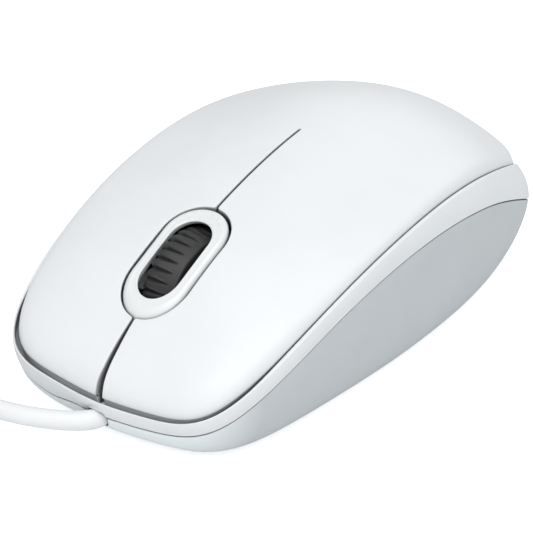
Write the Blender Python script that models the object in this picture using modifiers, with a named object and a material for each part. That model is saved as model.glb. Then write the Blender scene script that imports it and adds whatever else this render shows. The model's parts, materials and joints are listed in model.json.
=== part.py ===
# Corded computer mouse: moulded shell, two flexing button fingers, scroll wheel in its cradle,
# circuit board with switches and optical sensor, cable and plug.
# It stands on the desk at Z = 0 with its nose at -Y and its left side at +X.
# Sizes are in millimetres; meshes are scaled to metres as they are made.
import math
from collections import namedtuple

import bpy
import bmesh
import numpy as np
from mathutils import Matrix, Vector

# ---------------------------------------------------------------- driving dimensions
MM = 0.001
SEGMENTS = 64                 # points round the shell
SIDES = ((1, "left"), (-1, "right"))

GAP = 0.3                     # clearance between neighbouring pieces
WALL = 1.7                    # moulding wall
FLOOR = 0.8                   # underside of the base above the desk
FLOOR_TOP = FLOOR + 1.6
FLOOR_ROOT = FLOOR + 0.5      # posts start here, inside the floor

WHEEL_Y, WHEEL_Z = -30.2, 17.9
WHEEL_R, WHEEL_WIDTH = 11.2, 6.4
AXLE_R = 1.0
PIVOT_Y, PIVOT_Z = -8.0, 15.0     # rear pins of the wheel cradle
CRADLE_UNDER = 12.9

BOARD_Z = 7.0
BOARD_TOP = BOARD_Z + 1.2
MOUNT_Z = BOARD_TOP + 0.1     # underside of switches, encoder, capacitor and header
LOOSE_Z = BOARD_TOP + 0.15    # underside of screw head, spring, chip and LED clip

SWITCH_X, SWITCH_Y = 16.0, -33.0
SWITCH_LENGTH, SWITCH_WIDTH, SWITCH_H = 12.8, 5.8, 6.5
SWITCH_TOP = MOUNT_Z + SWITCH_H
PLUNGER_Y = -35.5
PLUNGER_PROUD = 0.9
MIDDLE_Y = -43.0              # switch under the cradle's front tongue

CASE_SCREW = (0, 34)          # plan positions
BOARD_SCREW = (-14, 8)
CASE_BOSS_TOP = 12.0
SCREW_HOLE_R = 1.5
SENSOR_Y = 9.0

CABLE_R = 1.75
CABLE_Z = 4.8                 # height of the cable where it leaves the nose
PLUG_POS = (-37.5, -61.5)     # rear end of the plug's tail
PLUG_ANGLE = math.radians(142.0)   # direction the plug points, from +X
PLUG_Z = 4.0

# ---------------------------------------------------------------- shell dimensions
# Waves are (whole number k, amplitude a): the radius is multiplied by 1 + a cos(k angle).
Outline = namedtuple("Outline", "half_length half_width centre_y taper waves")

# A height is a cubic in y / HEIGHT_Y plus a rise towards the sides.
Height = namedtuple("Height", "cubic side_rise")
HEIGHT_Y, HEIGHT_X = 56.5, 30

TAIL_POWER, NOSE_POWER = 2.4821, 6.1336     # superellipse exponents


def grown(outline, half_length, half_width, centre_y, taper, waves):
    """An outline with every value shifted and further waves added."""
    return Outline(
        outline.half_length + half_length,
        outline.half_width + half_width,
        outline.centre_y + centre_y,
        outline.taper + taper,
        outline.waves + waves,
    )


# seam between cover and band, seam between band and base, and edge of the flat underside
UPPER = Outline(
    half_length=54.5072, half_width=27.9893, centre_y=-2.2593, taper=0.0405,
    waves=[(2, -0.0087), (3, 0.0288), (4, 0.031), (5, 0.0006)])
LOWER = grown(
    UPPER, half_length=0.6132, half_width=2.5319, centre_y=1.5148, taper=0.0335,
    waves=[(2, 0.0146), (3, -0.0163), (4, -0.011)])
FOOT = grown(
    LOWER, half_length=-6.7855, half_width=-5.9234, centre_y=-1.0556, taper=-0.0504,
    waves=[(2, 0.0025), (3, -0.0038), (4, 0.0159)])

UPPER_HEIGHT = Height((29.7096, 4.3264, -18.9252, -2.9869), 1.6419)
LOWER_HEIGHT = Height((25.1692, 2.3908, -18.8285, -2.204), 1.0863)
CROWN = (8.0, 4.6162, 10.0655, 0.2672)      # cubic: crown of the cover above its seam
CROWN_FLAT_SHARE = 0.2433     # share of the crown that stays flat and drops at the edge
CROWN_EDGE = 0.0201           # how softly that share drops
BASE_WALL_POWER = 1.6         # superellipse exponent of the base's wall section

# ---------------------------------------------------------------- scene and materials
for old in list(bpy.data.objects):
    bpy.data.objects.remove(old, do_unlink=True)
for old in list(bpy.data.meshes):
    bpy.data.meshes.remove(old)
PARTS = bpy.data.collections.new("corded_computer_mouse")
CUTTERS = bpy.data.collections.new("cutters")
bpy.context.scene.collection.children.link(PARTS)
bpy.context.scene.collection.children.link(CUTTERS)

# name: (base colour, roughness, metallic, alpha)
FINISHES = {
    "cover_white": ((0.86, 0.87, 0.88), 0.35, 0.0, 1.0),
    "band_white": ((0.80, 0.81, 0.82), 0.4, 0.0, 1.0),
    "base_grey": ((0.50, 0.53, 0.54), 0.5, 0.0, 1.0),
    "bezel_white": ((0.80, 0.81, 0.82), 0.35, 0.0, 1.0),
    "tyre_black": ((0.02, 0.02, 0.022), 0.6, 0.0, 1.0),
    "hub_black": ((0.03, 0.03, 0.035), 0.45, 0.0, 1.0),
    "cradle_white": ((0.75, 0.75, 0.72), 0.5, 0.0, 1.0),
    "spring_steel": ((0.6, 0.6, 0.6), 0.3, 1.0, 1.0),
    "board_green": ((0.02, 0.16, 0.06), 0.4, 0.0, 1.0),
    "chip_black": ((0.015, 0.015, 0.017), 0.5, 0.0, 1.0),
    "lens_clear": ((0.85, 0.9, 0.92), 0.1, 0.0, 0.4),
    "led_red": ((0.75, 0.08, 0.06), 0.15, 0.0, 1.0),
    "switch_black": ((0.03, 0.03, 0.03), 0.45, 0.0, 1.0),
    "plunger_white": ((0.85, 0.85, 0.82), 0.4, 0.0, 1.0),
    "cable_white": ((0.84, 0.85, 0.85), 0.45, 0.0, 1.0),
    "wire_red": ((0.6, 0.03, 0.02), 0.5, 0.0, 1.0),
    "wire_green": ((0.03, 0.35, 0.08), 0.5, 0.0, 1.0),
    "wire_white": ((0.8, 0.8, 0.8), 0.5, 0.0, 1.0),
    "wire_black": ((0.02, 0.02, 0.02), 0.5, 0.0, 1.0),
    "header_cream": ((0.8, 0.77, 0.66), 0.5, 0.0, 1.0),
    "screw_steel": ((0.55, 0.55, 0.56), 0.3, 1.0, 1.0),
    "foot_grey": ((0.25, 0.26, 0.27), 0.3, 0.0, 1.0),
    "label_grey": ((0.62, 0.63, 0.64), 0.5, 0.0, 1.0),
    "shell_steel": ((0.7, 0.7, 0.71), 0.25, 1.0, 1.0),
    "can_blue": ((0.05, 0.08, 0.25), 0.4, 0.0, 1.0),
}


def make_material(name, colour, roughness, metallic, alpha):
    mat = bpy.data.materials.new(name)
    mat.use_nodes = True
    inputs = mat.node_tree.nodes["Principled BSDF"].inputs
    inputs["Base Color"].default_value = (*colour, 1.0)
    inputs["Roughness"].default_value = roughness
    inputs["Metallic"].default_value = metallic
    inputs["Alpha"].default_value = alpha
    mat.diffuse_color = (*colour, alpha)
    return mat


MATERIALS = {name: make_material(name, *values) for name, values in FINISHES.items()}


# ---------------------------------------------------------------- shell surface
ANGLES = np.arange(SEGMENTS) * 2 * np.pi / SEGMENTS + np.pi / SEGMENTS


def outline_xy(outline, angle, rho=1.0):
    """Points at angles from +Y towards +X; rho shrinks the outline towards its centre."""
    c, s = np.cos(angle), np.sin(angle)
    power = TAIL_POWER + (NOSE_POWER - TAIL_POWER) * (1 - c) / 2
    power = 2 + (power - 2) * rho ** 2
    radius = (np.abs(c) ** power + np.abs(s) ** power) ** (-1 / power)
    for k, amplitude in outline.waves:
        radius = radius * (1 + amplitude * np.cos(k * angle) * rho ** 2)
    along = radius * c * rho
    across = radius * s * rho
    return (outline.half_width * across * (1 + outline.taper * along),
            outline.centre_y + outline.half_length * along)


def cubic(factors, y):
    s = y / HEIGHT_Y
    return factors[0] + factors[1] * s + factors[2] * s * s + factors[3] * s ** 3


def seam_z(height, x, y, rho=1.0):
    return cubic(height.cubic, y) + height.side_rise * ((x / HEIGHT_X) ** 2 - 0.5) * rho ** 2


def seam(outline, height):
    x, y = outline_xy(outline, ANGLES)
    return x, y, seam_z(height, x, y)


def cover_z(x, y, rho):
    q = 1 - rho ** 2
    flat = (1 + CROWN_EDGE) * q / (q + CROWN_EDGE)
    rise = (1 - CROWN_FLAT_SHARE) * q + CROWN_FLAT_SHARE * flat
    return seam_z(UPPER_HEIGHT, x, y, rho) + cubic(CROWN, y) * rise


def surface_z(x, y):
    """Height of the cover at a plan position, by stepping angle and rho towards it."""
    def polar(px, py):
        u, v = px / UPPER.half_width, (py - UPPER.centre_y) / UPPER.half_length
        return math.hypot(u, v), math.atan2(u, v)

    goal_reach, goal_angle = polar(x, y)
    angle, rho = goal_angle, 0.5
    for _ in range(60):
        reach, reached_angle = polar(*outline_xy(UPPER, angle, rho))
        turn = (goal_angle - reached_angle + math.pi) % (2 * math.pi) - math.pi
        angle += 0.8 * turn
        growth = 1 + 0.8 * (goal_reach - reach) / max(reach, 1e-4)
        rho = min(1.0, max(1e-4, rho * growth))
    return float(cover_z(x, y, rho))


def inward(x, y, distance):
    """Offsets a closed outline evenly inwards; it must run clockwise seen from above."""
    along_x = np.roll(x, -1) - np.roll(x, 1)
    along_y = np.roll(y, -1) - np.roll(y, 1)
    length = np.hypot(along_x, along_y)
    return x + distance * along_y / length, y - distance * along_x / length


def ring(x, y, z):
    z = np.zeros_like(x) + z
    return [(float(a), float(b), float(c)) for a, b, c in zip(x, y, z)]


# ---------------------------------------------------------------- mesh helpers
# An object without a material is a hidden helper for the booleans.
def make_object(name, verts, faces, mat=None, smooth=False):
    mesh = bpy.data.meshes.new(name)
    mesh.from_pydata([(x * MM, y * MM, z * MM) for x, y, z in verts], [], faces)
    bm = bmesh.new()
    bm.from_mesh(mesh)
    bmesh.ops.recalc_face_normals(bm, faces=bm.faces)
    bm.to_mesh(mesh)
    bm.free()
    for face in mesh.polygons:
        face.use_smooth = smooth
    ob = bpy.data.objects.new(name, mesh)
    if mat:
        PARTS.objects.link(ob)
        mesh.materials.append(MATERIALS[mat])
    else:
        CUTTERS.objects.link(ob)
        ob.hide_render = True
        ob.display_type = "WIRE"
    return ob


def loft(name, rings, mat=None, caps=(None, None), closed=False, smooth=False):
    """Skins rings of equal length. An end is a fan about its cap point, or one flat face
    where the cap is None; closed joins the last ring to the first instead."""
    n = len(rings[0])
    count = len(rings)
    verts = [v for r in rings for v in r]
    faces = []
    for i in range(count if closed else count - 1):
        a, b = i * n, ((i + 1) % count) * n
        for j in range(n):
            k = (j + 1) % n
            faces.append((a + j, a + k, b + k, b + j))
    if closed:
        return make_object(name, verts, faces, mat, smooth)
    for cap, first, flip in ((caps[0], 0, True), (caps[1], (count - 1) * n, False)):
        if cap is None:
            face = [first + j for j in range(n)]
            faces.append(tuple(face[::-1] if flip else face))
            continue
        centre = len(verts)
        verts.append(cap)
        for j in range(n):
            a, b = first + j, first + (j + 1) % n
            faces.append((b, a, centre) if flip else (a, b, centre))
    return make_object(name, verts, faces, mat, smooth)


def soften(ob, width, segments=1, angle=40):
    bevel = ob.modifiers.new("bevel", "BEVEL")
    bevel.width = width * MM
    bevel.segments = segments
    bevel.limit_method = "ANGLE"
    bevel.angle_limit = math.radians(angle)


def about(centre, half):
    return centre - half, centre + half


HEX_FACES = [(0, 1, 3, 2), (4, 6, 7, 5), (0, 4, 5, 1), (2, 3, 7, 6), (0, 2, 6, 4), (1, 5, 7, 3)]


def box(name, x_span, y_span, z_span, mat=None, bevel=0.0):
    """Box between two values on each axis; the x values may come in either order."""
    verts = [(x, y, z) for x in sorted(x_span) for y in y_span for z in z_span]
    ob = make_object(name, verts, HEX_FACES, mat)
    if bevel:
        soften(ob, bevel)
    return ob


def prism_z(name, points, z_span, mat=None):
    return loft(name, [[(x, y, z) for x, y in points] for z in z_span], mat)


def prism_x(name, points, half_width, mat=None):
    """Extrudes a (y, z) outline to both sides of the centre plane."""
    return loft(name, [[(x, y, z) for y, z in points] for x in (-half_width, half_width)], mat)


def circle(centre, u, w, radius, n):
    angles = [2 * math.pi * i / n for i in range(n)]
    return [tuple(centre + (u * math.cos(t) + w * math.sin(t)) * radius) for t in angles]


def cylinder(name, radius, start, end, n, mat=None, end_radius=None):
    start, end = Vector(start), Vector(end)
    axis = (end - start).normalized()
    u = axis.orthogonal().normalized()
    if abs(axis.z) > 0.99:
        u = Vector((1, 0, 0))
    if abs(axis.x) > 0.99:
        u = Vector((0, 0, 1))
    w = axis.cross(u)
    if end_radius is None:
        end_radius = radius
    return loft(name, [circle(start, u, w, radius, n), circle(end, u, w, end_radius, n)], mat)


def pillar(name, radius, place, z_span, n, mat=None):
    return cylinder(name, radius, (*place, z_span[0]), (*place, z_span[1]), n, mat)


def tube(name, path, radius, n, mat):
    """Round section swept along a list of points, with flat ends."""
    points = [Vector(p) for p in path]
    rings = []
    up = None
    for i, point in enumerate(points):
        before = points[max(i - 1, 0)]
        after = points[min(i + 1, len(points) - 1)]
        axis = (after - before).normalized()
        if up is None:
            up = Vector((0, 0, 1)) if abs(axis.z) < 0.9 else Vector((1, 0, 0))
        up = (up - axis * up.dot(axis)).normalized()
        rings.append(circle(point, up, axis.cross(up), radius, n))
    return loft(name, rings, mat, smooth=True)


def stadium(y0, y1, radius, n=10):
    """Plan outline with round ends about (0, y0) and (0, y1), n steps to each end."""
    points = []
    for centre_y, start in ((y1, 0), (y0, math.pi)):
        for i in range(n + 1):
            t = start + math.pi * i / n
            points.append((radius * math.cos(t), centre_y + radius * math.sin(t)))
    return points


def boolean(ob, tool, operation):
    mod = ob.modifiers.new(operation.lower(), "BOOLEAN")
    mod.operation = operation
    mod.solver = "EXACT"
    mod.object = tool


def cut(ob, tool):
    boolean(ob, tool, "DIFFERENCE")


def join(ob, tool):
    boolean(ob, tool, "UNION")


def meet(ob, tool):
    boolean(ob, tool, "INTERSECT")


def move_origin(ob, x, y, z):
    offset = Vector((x * MM, y * MM, z * MM))
    ob.data.transform(Matrix.Translation(-offset))
    ob.location = offset


# ---------------------------------------------------------------- cover: palm and two fingers
SKIRT = 1.4                   # depth of the cover's edge below the seam
COVER_DROP = WALL * 1.12      # vertical thickness of the cover
OUTER_RHO = (0.22, 0.42, 0.6, 0.75, 0.86, 0.93, 0.972, 0.992)
INNER_RHO = (0.98, 0.9, 0.76, 0.55, 0.3)
SLIT_WIDTH = 0.56             # centre slit between the buttons
FLEX_Y, FLEX_Z = 0.8, 34.0    # line where the fingers flex, at the slit's rear end
ROOT_DEPTH = 0.9              # bosses end this far below the outer surface, in the wall

# plan of the bezel, used for its gap in the buttons too
BEZEL_X = 0.15                # bezel stands this far towards the left button
BEZEL_ENDS = (-39.5, -30.35)  # centres of the round ends
BEZEL_R = 6.35                # half width


def dome(name):
    """The whole cover as a closed skin, outside first, then back along the inside."""
    rings = []
    for rho in OUTER_RHO:
        x, y = outline_xy(UPPER, ANGLES, rho)
        rings.append(ring(x, y, cover_z(x, y, rho)))
    x, y, z = seam(UPPER, UPPER_HEIGHT)
    rings.append(ring(x, y, z))
    rings.append(ring(x, y, z - SKIRT))
    rings.append(ring(*inward(x, y, WALL), z - SKIRT))
    centre_y = UPPER.centre_y
    x_scale = (UPPER.half_width - WALL) / UPPER.half_width
    y_scale = (UPPER.half_length - WALL) / UPPER.half_length
    for rho in INNER_RHO:
        x, y = outline_xy(UPPER, ANGLES, rho)
        z = cover_z(x, y, rho) - COVER_DROP
        rings.append(ring(x * x_scale, centre_y + (y - centre_y) * y_scale, z))
    top = float(cover_z(0.0, centre_y, 0.0))
    caps = ((0, centre_y, top), (0, centre_y, top - COVER_DROP))
    return loft(name, rings, "cover_white", caps, smooth=True)


def build_palm():
    boss_r = 3.4
    palm = dome("palm_cover")
    cut(palm, box("cut_palm_front", (-60, 60), (-80, FLEX_Y), (-5, 60)))
    boss_top = surface_z(0, CASE_SCREW[1] + boss_r) - ROOT_DEPTH
    join(palm, pillar("add_palm_boss", boss_r, CASE_SCREW, (CASE_BOSS_TOP + GAP, boss_top), 20))
    cut(palm, pillar("cut_palm_screw", SCREW_HOLE_R, CASE_SCREW, (5, 24), 16))


def build_buttons():
    """Front fingers, each with a rib that comes down over its switch plunger."""
    gap_plan = [(x + BEZEL_X, y) for x, y in stadium(*BEZEL_ENDS, BEZEL_R + 0.38)]
    bezel_gap = prism_z("cut_bezel_gap", gap_plan, (5, 60))
    rear_y = FLEX_Y - GAP - 0.02
    rib_z = (SWITCH_TOP + PLUNGER_PROUD + GAP, surface_z(SWITCH_X, PLUNGER_Y) - ROOT_DEPTH)
    for side, side_name in SIDES:
        button = dome(side_name + "_button")
        side_span = (side * SLIT_WIDTH / 2, side * 60)
        meet(button, box(f"cut_{side_name}_side", side_span, (-80, rear_y), (-5, 60)))
        cut(button, bezel_gap)
        join(button, pillar(f"add_{side_name}_rib", 1.7, (side * SWITCH_X, PLUNGER_Y), rib_z, 12))
        move_origin(button, 0, FLEX_Y, FLEX_Z)


# ---------------------------------------------------------------- band between cover and base
SEAM_GAP = 0.35               # sideways gap between cover and band
BAND_TOP_DROP = 0.1           # top outer edge below the upper seam
SEAM_HALF_GAP = 0.12          # band and base each stand off the lower seam by this
TAB_HALF_WIDTH = 2.5          # tab that comes down over the cable at the nose
TAB_BOTTOM = 5.3
TAB_CLEAR = 0.25              # play of the tab in the base's notch


def build_band(arch):
    upper_x, upper_y, upper_z = seam(UPPER, UPPER_HEIGHT)
    lower_x, lower_y, lower_z = seam(LOWER, LOWER_HEIGHT)
    inner_x, inner_y = inward(upper_x, upper_y, -SEAM_GAP)
    outer_x, outer_y = inward(upper_x, upper_y, -SEAM_GAP - 0.5)
    top_z = upper_z - BAND_TOP_DROP
    bulge = 0.25 + 0.5 * np.clip((upper_y - 20) / 30, 0, 1)     # grows towards the tail
    rings = [ring(inner_x, inner_y, upper_z - 0.35), ring(outer_x, outer_y, top_z)]
    for t in (0.3, 0.65):
        x = outer_x * (1 - t) + lower_x * t
        y = outer_y * (1 - t) + lower_y * t
        x, y = inward(x, y, -bulge * 4 * t * (1 - t))
        rings.append(ring(x, y, top_z * (1 - t) + lower_z * t))
    bottom_z = lower_z + SEAM_HALF_GAP
    rings.append(ring(lower_x, lower_y, bottom_z))
    rings.append(ring(*inward(lower_x, lower_y, 2.2), bottom_z))
    rings.append(ring(inner_x, inner_y, np.maximum(lower_z + 0.8, upper_z - 2.4)))
    band = loft("middle_band", rings, "band_white", closed=True, smooth=True)

    nose_z = float(seam_z(LOWER_HEIGHT, 0.0, -56.5))
    tab_side = [                                                # (y, z)
        (-56.65, nose_z + 0.8), (-56.6, nose_z - 0.3), (-56.35, TAB_BOTTOM),
        (-54.1, TAB_BOTTOM), (-54.3, nose_z + 0.8)]
    join(band, prism_x("add_nose_tab", tab_side, TAB_HALF_WIDTH))
    cut(band, arch)


# ---------------------------------------------------------------- feet and label
# plan of each piece: (half width, (front y, rear y)); its seat is GAP larger all round
FEET = {
    "front": (13, (-46, -39)),
    "rear": (12, (41, 46)),
    "centre": (7, (-4.2, 1.8)),
}
LABEL = (13, (22, 38.5))
FOOT_SEAT_Z, LABEL_SEAT_Z = 1.25, 1.5       # ceilings of the seats


def build_feet_and_label():
    for name, (half_width, y_span) in FEET.items():
        foot_z = (0, FOOT_SEAT_Z - GAP)
        box(name + "_glide_foot", about(0, half_width), y_span, foot_z, "foot_grey", 0.25)
    half_width, y_span = LABEL
    box("blank_label", about(0, half_width), y_span, (0.9, LABEL_SEAT_Z - GAP), "label_grey")


# ---------------------------------------------------------------- base case
OUTER_STEPS = (1.0, 0.78, 0.54, 0.32, 0.14, 0.0)    # wall stations, 0 at the seam, 1 at the foot
INNER_STEPS = (0.0, 0.25, 0.6, 1.0)
# name: (x, y, radius, top)
BASE_POSTS = {
    "screw_boss": (*CASE_SCREW, 4.2, CASE_BOSS_TOP),
    "board_boss": (*BOARD_SCREW, 2.7, BOARD_Z - GAP),
    "stand_a": (15, 8, 1.9, BOARD_Z - GAP),
    "stand_b": (-17, -42, 1.9, BOARD_Z - GAP),
    "stand_c": (17, -42, 1.9, BOARD_Z - GAP),
}


def base_wall(top_xy, top_z, foot_xy, foot_z, t):
    """Ring of the curved wall at station t."""
    angle = t * math.pi / 2
    across = math.cos(angle) ** (2 / BASE_WALL_POWER)
    down = math.sin(angle) ** (2 / BASE_WALL_POWER)
    x, y = (foot + (top - foot) * across for top, foot in zip(top_xy, foot_xy))
    return ring(x, y, top_z + (foot_z - top_z) * down)


def cut_seat(base, name, plan, ceiling):
    half_width, (front, rear) = plan
    y_span = (front - GAP, rear + GAP)
    cut(base, box(f"cut_{name}_seat", about(0, half_width + GAP), y_span, (-1, ceiling)))


def build_base(arch):
    lower_x, lower_y, lower_z = seam(LOWER, LOWER_HEIGHT)
    top = inward(lower_x, lower_y, SEAM_HALF_GAP)
    top_z = lower_z - SEAM_HALF_GAP
    foot = outline_xy(FOOT, ANGLES)
    inner_top, inner_foot = inward(*top, WALL), inward(*foot, WALL)
    # up the outside from the foot, then down the inside
    rings = [base_wall(top, top_z, foot, FLOOR, t) for t in OUTER_STEPS]
    rings += [base_wall(inner_top, top_z, inner_foot, FLOOR_TOP, t) for t in INNER_STEPS]
    base = loft("base_case", rings, "base_grey", ((0, 0, FLOOR), (0, 0, FLOOR_TOP)))

    notch_x = about(0, TAB_HALF_WIDTH + TAB_CLEAR)
    cut(base, box("cut_tab_notch", notch_x, (-62, -53.4), (TAB_BOTTOM - TAB_CLEAR, 12)))
    cut(base, arch)
    for name, (x, y, radius, post_top) in BASE_POSTS.items():
        join(base, pillar("add_" + name, radius, (x, y), (FLOOR_ROOT, post_top), 16))
    for side, side_name in SIDES:
        join(base, box("add_pivot_post_" + side_name[0], (side * 6.0, side * 9.0),
                       about(PIVOT_Y, 2.6), (FLOOR_ROOT, PIVOT_Z + 3.0)))
    cut(base, cylinder("cut_pivot_holes", AXLE_R + 0.12,
                       (-12, PIVOT_Y, PIVOT_Z), (12, PIVOT_Y, PIVOT_Z), 24))
    cut(base, pillar("cut_screw_hole", SCREW_HOLE_R, CASE_SCREW, (-1, 14), 16))
    cut(base, pillar("cut_screw_head", 3.2, CASE_SCREW, (-1, 3.4), 20))
    cut(base, pillar("cut_board_screw", 1.25, BOARD_SCREW, (3.0, 14), 12))
    window = stadium(SENSOR_Y - 2.5, SENSOR_Y + 3.5, 3.6, 8)
    cut(base, prism_z("cut_light_window", window, (-1, 4)))
    for name, plan in FEET.items():
        cut_seat(base, name + "_foot", plan, FOOT_SEAT_Z)
    cut_seat(base, "label", LABEL, LABEL_SEAT_Z)


# ---------------------------------------------------------------- bezel round the wheel opening
BEZEL_PROUD = 0.4             # bezel above the cover
BEZEL_DEPTH = 1.5             # underside of the ring below the cover
OPEN_FRONT, OPEN_REAR = -39.0, -31.4      # centres of the opening's round ends
OPEN_R = 4.05                 # half width of the opening
# section of the ring, outside first:
# (half width, front centre y, rear centre y, height above the cover)
BEZEL_SECTION = (
    (BEZEL_R, *BEZEL_ENDS, -BEZEL_DEPTH),
    (BEZEL_R, *BEZEL_ENDS, -0.15),
    (BEZEL_R - 0.25, *BEZEL_ENDS, BEZEL_PROUD - 0.25),
    (BEZEL_R - 0.8, *BEZEL_ENDS, BEZEL_PROUD),
    (OPEN_R + 0.3, OPEN_FRONT, OPEN_REAR, BEZEL_PROUD),
    (OPEN_R, OPEN_FRONT, OPEN_REAR, BEZEL_PROUD - 0.3),
    (OPEN_R, OPEN_FRONT, OPEN_REAR, -0.6),
    (OPEN_R + 0.9, OPEN_FRONT - 0.1, OPEN_REAR + 0.3, -1.1),
    (OPEN_R + 1.1, OPEN_FRONT - 0.1, OPEN_REAR + 0.5, -BEZEL_DEPTH),
)
LEG_FRONT, LEG_REAR = -38.4, -36.2


def build_bezel():
    rings = []
    for radius, y0, y1, lift in BEZEL_SECTION:
        plan = stadium(y0, y1, radius)
        rings.append([(x + BEZEL_X, y, surface_z(0.0, y) + lift) for x, y in plan])
    bezel = loft("wheel_bezel", rings, "bezel_white", closed=True, smooth=True)
    # each side stands on the board: neck down from the ring, shelf outwards, then the leg
    knee_z = surface_z(0, LEG_FRONT) - 2.1
    # name, inner x, outer x, inset of both y ends, z span
    pieces = (
        ("shelf", 4.6, 8.3, 0, (knee_z - 2.45, knee_z - 1.55)),
        ("neck", 5.25, 6.05, 0.1, (knee_z - 2.0, knee_z + 1.2)),
        ("leg", 6.9, 8.2, 0.05, (BOARD_TOP + GAP, knee_z - 1.9)),
    )
    for side, side_name in SIDES:
        for name, inner, outer, inset, z_span in pieces:
            join(bezel, box(f"add_bezel_{name}_{side_name[0]}", (side * inner, side * outer),
                            (LEG_FRONT + inset, LEG_REAR - inset), z_span))


# ---------------------------------------------------------------- scroll wheel
GROOVES = 33                  # one step in three round the tyre is a groove
GROOVE_DEPTH = 0.55
HALF_WIDTH = WHEEL_WIDTH / 2
AXLE_END = 5.5
# profiles: (x, radius)
TYRE_PROFILE = [
    (-HALF_WIDTH, 8.6), (-HALF_WIDTH, WHEEL_R - 1.2), (-HALF_WIDTH + 0.5, WHEEL_R - 0.7),
    (-1.2, WHEEL_R - 0.2), (0.6, WHEEL_R), (1.7, WHEEL_R - 0.08),
    (HALF_WIDTH - 0.4, WHEEL_R - 0.5), (HALF_WIDTH, WHEEL_R - 1.0), (HALF_WIDTH, 8.6),
]
HUB_PROFILE = [
    (-AXLE_END, AXLE_R), (-3.4, AXLE_R), (-3.0, 2.2), (-0.6, 2.2), (-0.6, 7.2),
    (-HALF_WIDTH + 0.1, 7.2), (-HALF_WIDTH + 0.1, 8.3),
    (HALF_WIDTH - 0.1, 8.3), (HALF_WIDTH - 0.1, 7.2),
    (0.6, 7.2), (0.6, 2.2), (2.6, 2.2), (2.6, 3.0), (3.7, 3.0), (3.7, AXLE_R),
    (AXLE_END, AXLE_R),
]
WINDOWS = 10                  # openings through the hub's web
# section of a window: (distance from the axle, sideways offset)
WINDOW_CORNERS = ((3.4, -0.55), (6.3, -0.8), (6.3, 0.8), (3.4, 0.55))
WINDOW_FACES = [(0, 1, 2, 3), (7, 6, 5, 4), (0, 4, 5, 1), (1, 5, 6, 2), (2, 6, 7, 3), (3, 7, 4, 0)]


def wheel_rings(profile, n, radius_at=lambda i, x, radius: radius):
    rings = []
    for x, radius in profile:
        points = []
        for i in range(n):
            t = 2 * math.pi * i / n
            r = radius_at(i, x, radius)
            points.append((x, WHEEL_Y + r * math.cos(t), WHEEL_Z + r * math.sin(t)))
        rings.append(points)
    return rings


def tyre_radius(i, x, radius):
    """Grooves leave the tyre's left shoulder and its inside untouched."""
    grooved = i % 3 == 2 and x < 1.0 and radius > 9.6
    return radius - GROOVE_DEPTH if grooved else radius


def build_tyre():
    rings = wheel_rings(TYRE_PROFILE, GROOVES * 3, tyre_radius)
    tyre = loft("wheel_tyre", rings, "tyre_black", closed=True)
    move_origin(tyre, 0, WHEEL_Y, WHEEL_Z)


def build_hub():
    caps = ((-AXLE_END, WHEEL_Y, WHEEL_Z), (AXLE_END, WHEEL_Y, WHEEL_Z))
    hub = loft("wheel_hub", wheel_rings(HUB_PROFILE, 28), "hub_black", caps)
    # all windows are cut by one helper of separate bars
    verts, faces = [], []
    for k in range(WINDOWS):
        t = 2 * math.pi * (k + 0.5) / WINDOWS
        c, s = math.cos(t), math.sin(t)
        first = len(verts)
        for x in (-1.5, 1.5):
            for out, across in WINDOW_CORNERS:
                verts.append((x, WHEEL_Y + c * out - s * across, WHEEL_Z + s * out + c * across))
        faces += [tuple(first + corner for corner in face) for face in WINDOW_FACES]
    cut(hub, make_object("cut_hub_windows", verts, faces))
    move_origin(hub, 0, WHEEL_Y, WHEEL_Z)


# ---------------------------------------------------------------- wheel cradle
CHEEK = [                     # side outline: (y, z)
    (PIVOT_Y + 2.2, PIVOT_Z - 1.8), (PIVOT_Y + 2.2, PIVOT_Z + 1.8), (-18.5, PIVOT_Z + 2.2),
    (WHEEL_Y + 4.2, WHEEL_Z + 2.6), (WHEEL_Y - 4.2, WHEEL_Z + 2.6), (-39.5, 16.4),
    (-44.6, 15.0), (-44.6, CRADLE_UNDER), (-38, CRADLE_UNDER), (-24, CRADLE_UNDER),
]
WELL_HALF_WIDTH = 4.05
SPRING_TAB_Z = (13.2, 14.6)


def build_cradle():
    """Two cheeks left by two wells through a block, with pins and a spring tab."""
    cradle = prism_x("wheel_cradle", CHEEK, 5.4, "cradle_white")
    for name, front, rear in (("well", -42.9, -18.5), ("back", -17.2, PIVOT_Y + 6)):
        outline = [(front, 5), (front, 40), (rear, 40), (rear, 5)]
        cut(cradle, prism_x("cut_cradle_" + name, outline, WELL_HALF_WIDTH))
    cut(cradle, cylinder("cut_axle_holes", AXLE_R + 0.1,
                         (-8, WHEEL_Y, WHEEL_Z), (8, WHEEL_Y, WHEEL_Z), 24))
    for side, side_name in SIDES:
        join(cradle, cylinder("add_cradle_pin_" + side_name[0], AXLE_R,
                              (side * 5.0, PIVOT_Y, PIVOT_Z), (side * 8.6, PIVOT_Y, PIVOT_Z), 24))
    join(cradle, box("add_spring_tab", (5.0, 9.4), (-35.6, -32.0), SPRING_TAB_Z))
    move_origin(cradle, 0, PIVOT_Y, PIVOT_Z)


# ---------------------------------------------------------------- circuit board and screws
BOARD_OUTLINE = [
    (-19, -46.3), (19, -46.3), (21.5, -43), (23, -30), (23, 12),
    (17, 25), (-17, 25), (-23, 12), (-23, -30), (-21.5, -43),
]
THROUGH_BOARD = (0, 20)


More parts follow.
